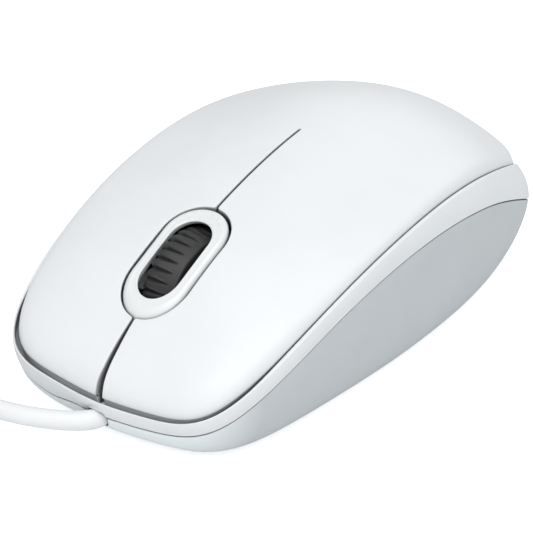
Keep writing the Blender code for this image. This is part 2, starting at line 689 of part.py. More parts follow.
def build_board():
    board = prism_z("main_board", BOARD_OUTLINE, (BOARD_Z, BOARD_TOP), "board_green")
    cut(board, box("cut_wheel_slot", (-4.4, 4.4), about(WHEEL_Y, 11.3), THROUGH_BOARD))
    cut(board, box("cut_post_slots", (-9.4, 9.4), about(PIVOT_Y, 3.0), THROUGH_BOARD))
    cut(board, pillar("cut_board_hole", 1.4, BOARD_SCREW, THROUGH_BOARD, 12))
    cut(board, box("cut_sensor_hole", (-3, 3), (SENSOR_Y - 4, SENSOR_Y + 6), THROUGH_BOARD))


def build_screw(name, place, head_r, head_z, head_n, shank_r, shank_z, slot_half, slot_z):
    """Slotted screw; slot_half is half the slot's width and length."""
    screw = pillar(name + "_screw", head_r, place, head_z, head_n, "screw_steel")
    join(screw, pillar(f"add_{name}_shank", shank_r, place, shank_z, 12))
    slot_x, slot_y = about(place[0], slot_half[0]), about(place[1], slot_half[1])
    cut(screw, box(f"cut_{name}_drive", slot_x, slot_y, slot_z))


def build_screws():
    build_screw("board", BOARD_SCREW, head_r=2.3, head_z=(LOOSE_Z, BOARD_TOP + 1.5), head_n=16,
                shank_r=1.05, shank_z=(3.6, BOARD_TOP + 0.6),
                slot_half=(0.3, 3), slot_z=(BOARD_TOP + 0.9, 20))
    build_screw("case", CASE_SCREW, head_r=2.8, head_z=(1.75, 3.2), head_n=20,
                shank_r=1.25, shank_z=(2.4, 20.5), slot_half=(0.35, 4), slot_z=(0, 2.2))


# ---------------------------------------------------------------- switches
PLUNGER_CLEAR = 0.15


def build_button_switches():
    plunger_x, plunger_y = 1.2, 0.6       # half sizes
    for side, side_name in SIDES:
        x = side * SWITCH_X
        body = box(side_name + "_switch_body", about(x, SWITCH_WIDTH / 2),
                   about(SWITCH_Y, SWITCH_LENGTH / 2), (MOUNT_Z, SWITCH_TOP), "switch_black", 0.3)
        cut(body, box(f"cut_{side_name}_plunger_hole", about(x, plunger_x + PLUNGER_CLEAR),
                      about(PLUNGER_Y, plunger_y + PLUNGER_CLEAR), (SWITCH_TOP - 1.8, 40)))
        box(side_name + "_switch_plunger", about(x, plunger_x), about(PLUNGER_Y, plunger_y),
            (SWITCH_TOP - 1.1, SWITCH_TOP + PLUNGER_PROUD), "plunger_white", 0.2)


def build_middle_switch():
    place, plunger_r = (0, MIDDLE_Y), 1.5
    body = box("middle_switch_body", (-3, 3), about(MIDDLE_Y, 3), (MOUNT_Z, MOUNT_Z + 3.2),
               "switch_black", 0.25)
    pillar("middle_switch_plunger", plunger_r, place, (MOUNT_Z + 2.0, CRADLE_UNDER - GAP), 16,
           "plunger_white")
    cut(body, pillar("cut_mid_plunger_hole", plunger_r + PLUNGER_CLEAR, place,
                     (MOUNT_Z + 1.0, 20), 16))


# ---------------------------------------------------------------- springs
def build_cradle_spring():
    """Coil between board and cradle tab, with closed end turns and an open middle."""
    centre_x, centre_y, coil_r = 7.4, -33.8, 1.25
    turns, steps, wire_r = 5, 12, 0.2
    end_turns = 0.8
    bottom, top = LOOSE_Z, SPRING_TAB_Z[0] - 0.15
    path = []
    for i in range(turns * steps + 1):
        t = 2 * math.pi * i / steps
        u = i / (turns * steps)
        opened = min(max((u * turns - end_turns) / (turns - 2 * end_turns), 0), 1)
        rise = 0.12 * u + 0.88 * opened
        path.append((centre_x + coil_r * math.cos(t), centre_y + coil_r * math.sin(t),
                     bottom + wire_r + (top - bottom - 2 * wire_r) * rise))
    tube("cradle_spring", path, wire_r, 5, "spring_steel")


def build_click_spring():
    """Bent wire from the cradle's middle bar, its arm resting by the hub's side collar."""
    arm_x, arm_y, arm_z = 3.62, -19.2, 17.45
    run_y, run_z = WHEEL_Y + 1.6 - arm_y, WHEEL_Z - 3.75 - arm_z
    path = [(0.6, -18.1, 17.75), (2.6, -18.1, 17.75), (3.3, -18.3, 17.75), (arm_x, arm_y, arm_z)]
    for i in range(9):
        u = i / 8
        path.append((arm_x, arm_y + run_y * u, arm_z + run_z * u ** 0.8))
    path += [(arm_x, WHEEL_Y - 0.2, WHEEL_Z - 3.3), (arm_x, WHEEL_Y - 1.8, WHEEL_Z - 3.95)]
    tube("click_spring", path, 0.17, 5, "spring_steel")


# ---------------------------------------------------------------- optics and capacitor
LED_Z = 12.2


def build_sensor():
    box("sensor_chip", (-4.6, 4.6), (SENSOR_Y - 5.5, SENSOR_Y + 6.5),
        (LOOSE_Z, BOARD_TOP + 3.0), "chip_black", 0.25)
    lens = box("lens_plate", (-9, 9), (SENSOR_Y - 8, SENSOR_Y + 12), (4.4, BOARD_Z - GAP),
               "lens_clear", 0.4)
    join(lens, cylinder("add_lens_barrel", 2.6, (0, SENSOR_Y, 2.2), (0, SENSOR_Y, 5.4), 20,
                        end_radius=3.0))


def led_cylinder(name, radius, rear, front, mat=None, end_radius=None):
    """Cylinder on the LED's axis; its ends are given behind the sensor's centre."""
    return cylinder(name, radius, (0, SENSOR_Y + rear, LED_Z), (0, SENSOR_Y + front, LED_Z), 18,
                    mat, end_radius)


def build_led():
    led = led_cylinder("sensor_led", 2.4, 13.8, 8.0, "led_red")
    join(led, led_cylinder("add_led_dome", 2.39, 8.2, 7.2, end_radius=1.4))
    clip = box("led_clip", (-4.2, 4.2), (SENSOR_Y + 9.2, SENSOR_Y + 12.8), (LOOSE_Z, 15.6),
               "switch_black", 0.4)
    cut(clip, led_cylinder("cut_led_clip", 2.7, 5, 17))


def build_encoder():
    for side, name in ((1, "encoder_emitter"), (-1, "encoder_detector")):
        box(name, (side * 6.1, side * 8.2), about(WHEEL_Y + 1.4, 2.0), (MOUNT_Z, 14.2),
            "chip_black", 0.3)


def build_capacitor():
    can = pillar("capacitor", 2.5, (-15, -14), (MOUNT_Z, MOUNT_Z + 7.0), 20, "can_blue")
    soften(can, 0.3, angle=60)


# ---------------------------------------------------------------- cable
NOSE_EXIT = (0.0, -55.8)      # where the cable starts to bend
BEND_END = (-14.3, -63.9)     # end of the sideways bend, and the direction there
BEND_DIR = (-0.985, -0.17)
HANDLE = 9                    # length of the curve handles on the free run


def stepped(start, direction, distance):
    return tuple(start[k] + direction[k] * distance for k in (0, 1))


def bezier(p0, p1, p2, p3, n):
    """Points of a plan curve, without its first."""
    points = []
    for i in range(1, n + 1):
        u = i / n
        v = 1 - u
        points.append(tuple(v ** 3 * p0[k] + 3 * v ** 2 * u * p1[k] + 3 * v * u * u * p2[k]
                            + u ** 3 * p3[k] for k in (0, 1)))
    return points


def build_cable():
    plug_dir = (math.cos(PLUG_ANGLE), math.sin(PLUG_ANGLE))
    plan = [(0.0, -48.25), (0.0, -51.0), NOSE_EXIT]
    plan += bezier(NOSE_EXIT, (0.0, -59.2), (-7.5, -62.7), BEND_END, 10)
    plan += bezier(BEND_END, stepped(BEND_END, BEND_DIR, HANDLE),
                   stepped(PLUG_POS, plug_dir, -HANDLE), PLUG_POS, 9)
    plan.append(stepped(PLUG_POS, plug_dir, 2.6))       # end inside the plug's tail
    runs = [0.0]
    for start, end in zip(plan, plan[1:]):
        runs.append(runs[-1] + math.hypot(end[0] - start[0], end[1] - start[1]))
    # the cable eases from nose height to plug height between these lengths
    ease_start, ease_end = runs[4], runs[-2]
    path = []
    for (x, y), run in zip(plan, runs):
        u = min(max((run - ease_start) / (ease_end - ease_start), 0), 1)
        path.append((x, y, CABLE_Z + (PLUG_Z - CABLE_Z) * u * u * (3 - 2 * u)))
    tube("cable_jacket", path, CABLE_R, 12, "cable_white")


def build_strain_relief():
    front, rear = -49.9, -48.3
    axis_z = CABLE_Z + 0.4
    relief = cylinder("strain_relief", 2.6, (0, front, axis_z), (0, rear, axis_z), 20,
                      "cable_white")
    join(relief, box("add_relief_foot", (-2.4, 2.4), (front + 0.1, rear - 0.1),
                     (FLOOR_TOP + 0.15, CABLE_Z)))
    cut(relief, cylinder("cut_relief_bore", CABLE_R + 0.2,
                         (0, -56, CABLE_Z), (0, -45, CABLE_Z), 20))


# ---------------------------------------------------------------- header and cores
HEADER_X, HEADER_Y = -12.0, -41.7
CORE_PITCH = 2.2              # spacing of the cores at the header
CORE_OFFSET = 0.75            # of each core from the cable's axis, in x and z


def build_header():
    box("board_header", about(HEADER_X, 5.5), about(HEADER_Y, 1.6),
        (MOUNT_Z, MOUNT_Z + 2.4), "header_cream", 0.2)
    box("header_plug", about(HEADER_X, 5.0), about(HEADER_Y, 1.4),
        (MOUNT_Z + 2.6, MOUNT_Z + 5.0), "header_cream", 0.3)


def catmull_rom(stations, n):
    """Smooth path through the stations, n steps per span."""
    padded = [stations[0]] + stations + [stations[-1]]
    path = []
    for p0, p1, p2, p3 in zip(padded, padded[1:], padded[2:], padded[3:]):
        for k in range(n):
            u = k / n
            path.append(tuple(
                0.5 * (2 * b + (c - a) * u + (2 * a - 5 * b + 4 * c - d) * u * u
                       + (3 * b - a - 3 * c + d) * u ** 3)
                for a, b, c, d in zip(p0, p1, p2, p3)))
    path.append(stations[-1])
    return path


def build_cores():
    """Four cores rise from the cable's end, turn over to the right and reach the header."""
    for i, colour in enumerate(("red", "green", "white", "black")):
        even = i % 2 == 0
        start_x = CORE_OFFSET if i < 2 else -CORE_OFFSET
        start_z = CABLE_Z + (CORE_OFFSET if even else -CORE_OFFSET)
        end_x = HEADER_X + 3.3 - CORE_PITCH * i
        rise_x, rise_y = 1.7 - 1.15 * i, -47.55 if even else -46.85
        top_z = 12.3 - 0.9 * i
        stations = [
            (start_x, -47.8, start_z),
            (0.5 * (start_x + rise_x), rise_y, start_z + 1.2),
            (rise_x, rise_y, 8.4),
            (rise_x - 1.2, rise_y + 0.1, top_z - 0.3),
            (0.5 * (rise_x + end_x) - 1, -46.3, top_z),
            (end_x + 1.0, -45.3, top_z + 0.2 * i),
            (end_x, HEADER_Y - 1.55, MOUNT_Z + 3.8),
        ]
        tube("core_" + colour, catmull_rom(stations, 3), 0.34, 6, "wire_" + colour)


# ---------------------------------------------------------------- plug
# Modelled along +X from the rear end of its tail, then turned and moved into place.
SHELL_HALF = (6.0, 2.25)      # half width and half height of the metal shell
SHELL_WALL = 0.4
SHELL_ROOT = 22.4             # rear end of shell and tongue


def place_plug(ob):
    offset = Matrix.Translation((PLUG_POS[0] * MM, PLUG_POS[1] * MM, PLUG_Z * MM))
    ob.data.transform(offset @ Matrix.Rotation(PLUG_ANGLE, 4, "Z"))
    return ob


def plug_box(name, x_span, y_span, z_span, mat=None):
    return place_plug(box(name, x_span, y_span, z_span, mat))


def plug_cylinder(name, radius, x_span, end_radius=None):
    return place_plug(cylinder(name, radius, (x_span[0], 0, 0), (x_span[1], 0, 0), 16,
                               end_radius=end_radius))


def build_overmould():
    body = plug_box("plug_overmould", (6.5, 26.5), (-7.6, 7.6), (-4.0, 4.0), "cable_white")
    soften(body, 1.2, 2)
    join(body, plug_cylinder("add_plug_tail", 2.7, (0.4, 8.0), 3.7))
    cut(body, plug_cylinder("cut_plug_tail", CABLE_R + 0.25, (-1, 3.4)))
    half_y, half_z = (half + GAP for half in SHELL_HALF)
    cut(body, plug_box("cut_plug_mouth", (22.0, 40), about(0, half_y), about(0, half_z)))


def build_plug_shell():
    half_y, half_z = SHELL_HALF
    shell = plug_box("plug_shell", (SHELL_ROOT, 39.0), about(0, half_y), about(0, half_z),
                     "shell_steel")
    cut(shell, plug_box("cut_plug_bore", (21, 41), about(0, half_y - SHELL_WALL),
                        about(0, half_z - SHELL_WALL)))
    for side, letter in ((1, "a"), (-1, "b")):
        cut(shell, plug_box("cut_plug_window_" + letter, (32.0, 34.2), about(side * 2.9, 1.1),
                            (0.5, 4)))


def build_plug_tongue():
    plug_box("plug_tongue", (SHELL_ROOT, 38.4), (-5.35, 5.35), (-0.2, 1.6), "header_cream")


# ---------------------------------------------------------------- build
build_palm()
build_buttons()
cable_arch = cylinder("cut_cable_arch", CABLE_R + 0.35, (0, -62, CABLE_Z), (0, -50, CABLE_Z), 24)
build_band(cable_arch)
build_base(cable_arch)
build_feet_and_label()
build_bezel()
build_tyre()
build_hub()
build_cradle()
build_board()
build_screws()
build_button_switches()
build_middle_switch()
build_cradle_spring()
build_click_spring()
build_sensor()
build_led()
build_encoder()
build_capacitor()
build_cable()
build_strain_relief()
build_header()
build_cores()
build_overmould()
build_plug_shell()
build_plug_tongue()
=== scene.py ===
import json
import math
import bpy
import bmesh
import numpy as np
from mathutils import Matrix, Vector


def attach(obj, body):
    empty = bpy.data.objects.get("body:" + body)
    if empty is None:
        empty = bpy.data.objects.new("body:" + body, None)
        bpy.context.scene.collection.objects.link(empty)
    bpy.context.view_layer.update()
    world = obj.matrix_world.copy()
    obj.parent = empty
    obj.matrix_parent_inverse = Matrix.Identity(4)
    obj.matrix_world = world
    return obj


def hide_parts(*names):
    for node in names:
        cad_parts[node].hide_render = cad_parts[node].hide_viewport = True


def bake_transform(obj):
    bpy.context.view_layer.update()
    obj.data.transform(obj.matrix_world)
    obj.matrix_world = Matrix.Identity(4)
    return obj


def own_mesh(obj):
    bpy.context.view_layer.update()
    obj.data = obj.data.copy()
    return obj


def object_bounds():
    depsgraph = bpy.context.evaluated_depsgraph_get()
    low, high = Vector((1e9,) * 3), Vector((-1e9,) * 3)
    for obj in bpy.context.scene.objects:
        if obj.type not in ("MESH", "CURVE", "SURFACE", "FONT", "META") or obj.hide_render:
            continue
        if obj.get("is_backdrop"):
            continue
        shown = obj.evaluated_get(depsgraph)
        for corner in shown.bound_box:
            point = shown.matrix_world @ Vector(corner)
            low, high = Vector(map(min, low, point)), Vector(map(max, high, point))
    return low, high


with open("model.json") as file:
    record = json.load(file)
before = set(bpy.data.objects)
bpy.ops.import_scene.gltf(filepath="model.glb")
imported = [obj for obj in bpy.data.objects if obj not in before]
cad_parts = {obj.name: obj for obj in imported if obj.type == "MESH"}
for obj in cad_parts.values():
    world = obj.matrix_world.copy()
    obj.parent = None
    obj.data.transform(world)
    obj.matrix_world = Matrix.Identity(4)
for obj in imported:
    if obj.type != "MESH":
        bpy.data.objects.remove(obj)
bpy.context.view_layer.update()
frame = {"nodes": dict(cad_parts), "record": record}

NODES = frame["nodes"]
MM = 0.001
SCENE = bpy.context.scene

# ================================================================ driving dimensions
# An outline is: half length, half width, centre y, taper, ((harmonic order, share), ...)
HALF_LENGTH, HALF_WIDTH, CENTRE_Y = 54.5072, 27.9893, -2.2593
UPPER = (HALF_LENGTH, HALF_WIDTH, CENTRE_Y, 0.0405,
         ((2, -0.0087), (3, 0.0288), (4, 0.031), (5, 0.0006)))
UPPER_TO_LOWER = (0.6132, 2.5319, 1.5148, 0.0335, ((2, 0.0146), (3, -0.0163), (4, -0.011)))
LOWER_TO_FOOT = (-6.7855, -5.9234, -1.0556, -0.0504, ((2, 0.0025), (3, -0.0038), (4, 0.0159)))
LOWER = tuple(a + b for a, b in zip(UPPER, UPPER_TO_LOWER))
FOOT = tuple(a + b for a, b in zip(LOWER, LOWER_TO_FOOT))
POWER_TAIL, POWER_NOSE = 2.4821, 6.1336     # squareness of the outlines at either end

# Heights along the body: cubic coefficients in y / PROFILE_REACH
PROFILE_REACH = 56.5
UPPER_HEIGHT = (29.7096, 4.3264, -18.9252, -2.9869)
LOWER_HEIGHT = (25.1692, 2.3908, -18.8285, -2.204)
DOME_HEIGHT = (8.0, 4.6162, 10.0655, 0.2672)
UPPER_CROSS, LOWER_CROSS = 1.6419, 1.0863   # rise of each seam with distance from the centre line
SHOULDER, SHOULDER_SHARE = 0.0201, 0.2433   # tightness and share of the cover's steep shoulder
WALL_POWER = 1.6                            # curve of the base wall from seam to foot

SEAM = 0.35                                 # gap between cover and band
SEAM_LAP = 0.12                             # half gap between band and base
SKIRT = 2.4                                 # depth of the cover's side skirt
THICK = 1.9                                 # thickness of the cover
FLEX_Y = 0.8                                # where the fingers join the palm
FLOOR, FLOOR_T = 0.8, 1.6                   # underside and thickness of the base floor
WHEEL_Y, WHEEL_Z, WHEEL_R, WHEEL_W = -30.2, 17.9, 11.2, 6.4
BEZEL_FRONT, BEZEL_REAR, BEZEL_R, BEZEL_X = -39.5, -30.35, 6.35, 0.15   # arc centres of its oval
OPEN_FRONT, OPEN_REAR, OPEN_R = -39.0, -31.4, 4.05
BEZEL_PROUD, BEZEL_DEPTH = 0.4, 1.5
HOLE_R = BEZEL_R + 0.38
SLIT_HALF = 0.25                            # half width of the slit behind the wheel
CABLE_R, CABLE_Z = 1.75, 4.8
PLUG_POS, PLUG_TURN, PLUG_Z = (-37.5, -61.5), math.radians(142.0), 4.0

# Flat pads underneath: half width, front y, rear y
GLIDE_FRONT, GLIDE_CENTRE, GLIDE_REAR = (13, -46, -39), (7, -4.2, 1.8), (12, 41, 46)
LABEL = (13, 22, 38.5)
POCKET_GAP = 0.3


# ================================================================ body surfaces
def smoothstep(u):
    u = np.clip(u, 0, 1)
    return u * u * (3 - 2 * u)


def unit(v):
    return v / np.maximum(np.linalg.norm(v, axis=-1, keepdims=True), 1e-12)


def with_zero_z(v):
    return np.c_[v, np.zeros(len(v))]


def superellipse(outline, angle, rho=1.0):
    """Plan point at a share rho of the way from the centre to the outline."""
    half_length, half_width, centre_y, taper, harmonics = outline
    c, s = np.cos(angle), np.sin(angle)
    power = POWER_TAIL + (POWER_NOSE - POWER_TAIL) * (1 - c) / 2
    power = 2 + (power - 2) * rho ** 2
    r = (np.abs(c) ** power + np.abs(s) ** power) ** (-1 / power)
    for order, share in harmonics:
        r = r * (1 + share * np.cos(order * angle) * rho ** 2)
    along, across_ = r * c * rho, r * s * rho
    return half_width * across_ * (1 + taper * along), centre_y + half_length * along


def cubic(coefs, y):
    s = y / PROFILE_REACH
    return coefs[0] + coefs[1] * s + coefs[2] * s * s + coefs[3] * s ** 3


def corner_swell(angle):
    """1 at the two tail corners of the outline, 0 elsewhere."""
    a = np.abs((angle + np.pi) % (2 * np.pi) - np.pi)
    return np.exp(-((a - 0.62) / 0.34) ** 2)


def nose_end(angle, width):
    """1 at the nose end of the outline, 0 away from it."""
    return np.exp(-((np.pi - np.abs((angle + np.pi) % (2 * np.pi) - np.pi)) / width) ** 4)


def upper_xy(angle, rho=1.0):
    x, y = superellipse(UPPER, angle, rho)
    swell = 1 + 0.026 * corner_swell(angle) * rho ** 12
    return x * swell, CENTRE_Y + (y - CENTRE_Y) * swell


def upper_z(x, y, rho=1.0):
    return cubic(UPPER_HEIGHT, y) + UPPER_CROSS * ((x / 30) ** 2 - 0.5) * rho ** 2


def lower_z(x, y):
    tail_drop = 1.1 * smoothstep((y - 16) / 24)
    return cubic(LOWER_HEIGHT, y) + LOWER_CROSS * ((x / 30) ** 2 - 0.5) - tail_drop


def cover_z(x, y, rho):
    q = 1 - rho ** 2
    tail = smoothstep((y - 4) / 38)
    k = SHOULDER * (1 + 1.1 * tail)
    dome = (1 - SHOULDER_SHARE) * q + SHOULDER_SHARE * (1 + k) * q / (q + k)
    u = rho ** 8
    return upper_z(x, y, rho) + cubic(DOME_HEIGHT, y) * dome - 1.6 * tail * u * (1 - u)


def cover_point(w):
    """Point of the cover for a place w on the unit disc (real part towards the tail)."""
    rho, angle = np.abs(w), np.angle(w)
    x, y = upper_xy(angle, rho)
    z = cover_z(x, y, rho)
    g = nose_end(angle, 0.82) * rho ** 14
    y = CENTRE_Y + (y - CENTRE_Y) * (1 - 0.0065 * g)
    return np.stack([x * (1 - 0.003 * g), y, z + 0.26 * g], -1)


def cover_normal(w):
    h = 1e-4
    n = unit(np.cross(cover_point(w + h) - cover_point(w - h),
                      cover_point(w + 1j * h) - cover_point(w - 1j * h)))
    return n * np.where(n[..., 2:] < 0, -1.0, 1.0)


def disc_of(x, y):
    """Place on the unit disc whose cover point lies at plan position x, y, by iteration."""
    def polar(px, py):
        px, py = px / HALF_WIDTH, (py - CENTRE_Y) / HALF_LENGTH
        return np.hypot(px, py), np.arctan2(px, py)

    want_r, want_angle = polar(x, y)
    angle, rho = want_angle.copy(), want_r + 1e-5
    for _ in range(120):
        got_r, got_angle = polar(*upper_xy(angle, rho))
        angle = angle + 0.8 * ((want_angle - got_angle + np.pi) % (2 * np.pi) - np.pi)
        step = 1 + 0.8 * (want_r - got_r) / np.maximum(got_r, 1e-6)
        rho = np.clip(rho * step, 1e-6, 1.0)
    return rho * np.exp(1j * angle)


SPINE_Y = np.linspace(-56, 56, 400)
SPINE_Z = cover_point(disc_of(np.zeros(400), SPINE_Y))[:, 2]


def spine_z(y):
    """Height of the cover on the centre line."""
    return np.interp(y, SPINE_Y, SPINE_Z)


# ================================================================ lines
def resample(at, along, points):
    return np.c_[np.interp(at, along, points[:, 0]), np.interp(at, along, points[:, 1])]


def run_length(points):
    return np.r_[0, np.cumsum(np.linalg.norm(np.diff(points, axis=0), axis=1))]


def smoothed(points, step, spread, reach):
    """Gaussian smoothing of evenly stepped points; reach is in points, the ends are kept."""
    k = np.exp(-0.5 * (np.arange(-reach, reach + 1) * step / spread) ** 2)
    k /= k.sum()
    pad = np.vstack([2 * points[0] - points[reach:0:-1], points,
                     2 * points[-1] - points[-2:-reach - 2:-1]])
    return np.c_[np.convolve(pad[:, 0], k, "valid"), np.convolve(pad[:, 1], k, "valid")]


def eased_line(points, n, spread):
    """n points along a polyline with eased corners, ends kept."""
    points = np.array(points, float)
    run = run_length(points)
    s = np.linspace(0, run[-1], 600)
    eased = smoothed(resample(s, run, points), s[1], spread, max(3, int(3 * spread / s[1])))
    return resample(np.linspace(0, s[-1], n), s, eased)


def rounded(points, radii, n):
    """Profile rows with n-row rounded corners. points: one (m, 3) array per corner;
    radii: one per corner, 0 keeps it sharp."""
    rows = []
    for i, (p, r) in enumerate(zip(points, radii)):
        if r == 0:
            rows.append(p)
            continue
        a, b = points[i - 1] - p, points[i + 1] - p
        pa, pb = (p + d * np.minimum(
            r / np.maximum(np.linalg.norm(d, axis=-1, keepdims=True), 1e-9), 0.48) for d in (a, b))
        for k in range(n):
            t = k / (n - 1)
            rows.append((1 - t) ** 2 * pa + 2 * t * (1 - t) * p + t * t * pb)
    return rows


def outline_normal(line):
    """Outward plan normals of a closed outline of (x, y, z) points."""
    x, y = line[:, 0], line[:, 1]
    tx, ty = np.roll(x, -1) - np.roll(x, 1), np.roll(y, -1) - np.roll(y, 1)
    area_ = 0.5 * np.sum(x * np.roll(y, -1) - np.roll(x, -1) * y)
    n = np.hypot(tx, ty) * (1 if area_ > 0 else -1)
    return np.stack([ty / n, -tx / n, 0 * x], -1)


def stadium(y0, y1, r, n=24):
    a = np.linspace(0, np.pi, n + 1)
    return ([(r * math.cos(t), y1 + r * math.sin(t)) for t in a]
            + [(r * math.cos(t), y0 + r * math.sin(t)) for t in a + np.pi])


# ================================================================ mesh building
class Skin:
    """Collects points and faces. Points that coincide share one vertex if welded;
    given normals are kept for shading."""

    def __init__(self):
        self.pts, self.nrm, self.faces, self.index = [], [], [], {}

    def add(self, pts, nrm=None, weld=True):
        pts = np.asarray(pts, float)
        if nrm is not None:
            nrm = nrm.reshape(-1, 3)
        out = np.empty(pts.size // 3, int)
        for i, p in enumerate(pts.reshape(-1, 3)):
            key = tuple(round(c, 4) for c in p)
            j = self.index.get(key) if weld else None
            if j is None:
                j = len(self.pts)
                self.pts.append(p)
                self.nrm.append(np.zeros(3))
                self.index[key] = j
            if nrm is not None:
                self.nrm[j] = self.nrm[j] + nrm[i]
            out[i] = j
        return out.reshape(pts.shape[:-1])

    def face(self, ids):
        """Adds a face, leaving out repeated neighbours and collapsed faces."""
        f = []
        for i in ids:
            i = int(i)
            if not f or f[-1] != i:
                f.append(i)
        if len(f) > 1 and f[0] == f[-1]:
            f.pop()
        if len(f) > 2 and len(set(f)) == len(f):
            self.faces.append(tuple(f))

    def quads(self, grid, close_u=False, close_v=False):
        m, n = grid.shape
        for i in range(m if close_u else m - 1):
            a, b = grid[i], grid[(i + 1) % m]
            for j in range(n if close_v else n - 1):
                k = (j + 1) % n
                self.face((a[j], a[k], b[k], b[j]))

    def strip(self, a, b):
        for i in range(len(a) - 1):
            self.face((a[i], a[i + 1], b[i + 1], b[i]))

    def build(self, name, slot=None, smooth=True, custom=False, sharp=None):
        """Makes the object; slot names its material, sharp is an edge angle in degrees."""
        me = bpy.data.meshes.new(name)
        me.from_pydata([tuple(p * MM) for p in self.pts], [], self.faces)
        me.update()
        if slot:
            me.materials.append(MAT[slot])
        bm = bmesh.new()
        bm.from_mesh(me)
        bmesh.ops.recalc_face_normals(bm, faces=bm.faces)
        bm.to_mesh(me)
        bm.free()
        me.polygons.foreach_set("use_smooth", [smooth] * len(me.polygons))
        me.update()
        ob = bpy.data.objects.new(name, me)
        SCENE.collection.objects.link(ob)
        if custom:
            normals = np.zeros(len(me.vertices) * 3, np.float32)
            me.vertices.foreach_get("normal", normals)
            normals = normals.reshape(-1, 3).astype(float)
            given = np.array(self.nrm)
            have = np.linalg.norm(given, axis=1) > 1e-6
            normals[have] = unit(given[have])
            me.normals_split_custom_set_from_vertices([tuple(v) for v in normals])
        elif sharp:
            me.set_sharp_from_angle(angle=math.radians(sharp))
        return ob


def loft(name, rows, slot=None, closed=False, smooth=True, sharp=38):
    """Skin over closed rows; its ends are capped, or joined to each other when closed."""
    skin = Skin()
    grid = skin.add(np.array(rows), weld=False)
    skin.quads(grid, close_u=closed, close_v=True)
    if not closed:
        skin.face(grid[0][::-1])
        skin.face(grid[-1])
    return skin.build(name, slot, smooth=smooth, sharp=sharp)


def circle(centre, u, w, r, n):
    turns = [2 * math.pi * k / n for k in range(n)]
    return [tuple(centre + (u * math.cos(t) + w * math.sin(t)) * r) for t in turns]


def tube(name, path, radius, seg, slot):
    """Round section swept along a path, with flat ends."""
    pts = [Vector(p) for p in path]
    up, rings = Vector((0, 0, 1)), []
    for i, p in enumerate(pts):
        d = (pts[min(i + 1, len(pts) - 1)] - pts[max(i - 1, 0)]).normalized()
        if i == 0 and abs(d.z) >= 0.9:
            up = Vector((1, 0, 0))
        up = (up - d * up.dot(d)).normalized()
        rings.append(circle(p, up, d.cross(up), radius, seg))
    return loft(name, rings, slot, sharp=50)


def prism(pts, axis, lo, hi, name="tool"):
    """Plan points raised along z, or (y, z) points drawn out along x."""
    if axis == "z":
        rings = [[(a, b, h) for a, b in pts] for h in (lo, hi)]
    else:
        rings = [[(h, a, b) for a, b in pts] for h in (lo, hi)]
    return loft(name, rings, smooth=False, sharp=None)


def block(lo, hi, name="tool"):
    corners = [(lo[0], lo[1]), (hi[0], lo[1]), (hi[0], hi[1]), (lo[0], hi[1])]
    return prism(corners, "z", lo[2], hi[2], name)


def side_block(side, near, far, y_range, z_range):
    """Block between two distances from the centre line, on side +1 or -1."""
    lo, hi = sorted((side * near, side * far))
    return block((lo, y_range[0], z_range[0]), (hi, y_range[1], z_range[1]))


def rod(r, p0, p1, n=32):
    p0, p1 = Vector(p0), Vector(p1)
    d = (p1 - p0).normalized()
    u = Vector((1, 0, 0)) if abs(d.z) > 0.9 else d.orthogonal().normalized()
    w = d.cross(u)
    return loft("tool", [circle(p, u, w, r, n) for p in (p0, p1)], smooth=False, sharp=None)


def shade(ob, angle):
    ob.data.polygons.foreach_set("use_smooth", [True] * len(ob.data.polygons))
    ob.data.set_sharp_from_angle(angle=math.radians(angle))


def apply_modifiers(ob):
    dg = bpy.context.evaluated_depsgraph_get()
    me = bpy.data.meshes.new_from_object(ob.evaluated_get(dg), depsgraph=dg)
    old = ob.data
    ob.modifiers.clear()
    ob.data = me
    me.name = ob.name
    bpy.data.meshes.remove(old)


def boolean(ob, tools, op):
    """Applies one exact boolean per tool and removes the tools."""
    for tool in tools:
        m = ob.modifiers.new(op, "BOOLEAN")
        m.operation, m.solver, m.object = op, "EXACT", tool
    apply_modifiers(ob)
    for tool in tools:
        bpy.data.objects.remove(tool, do_unlink=True)


def place(ob, node, body="housing"):
    """Rides the piece on its body and hides the solid it stands for."""
    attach(ob, body)
    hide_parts(node)


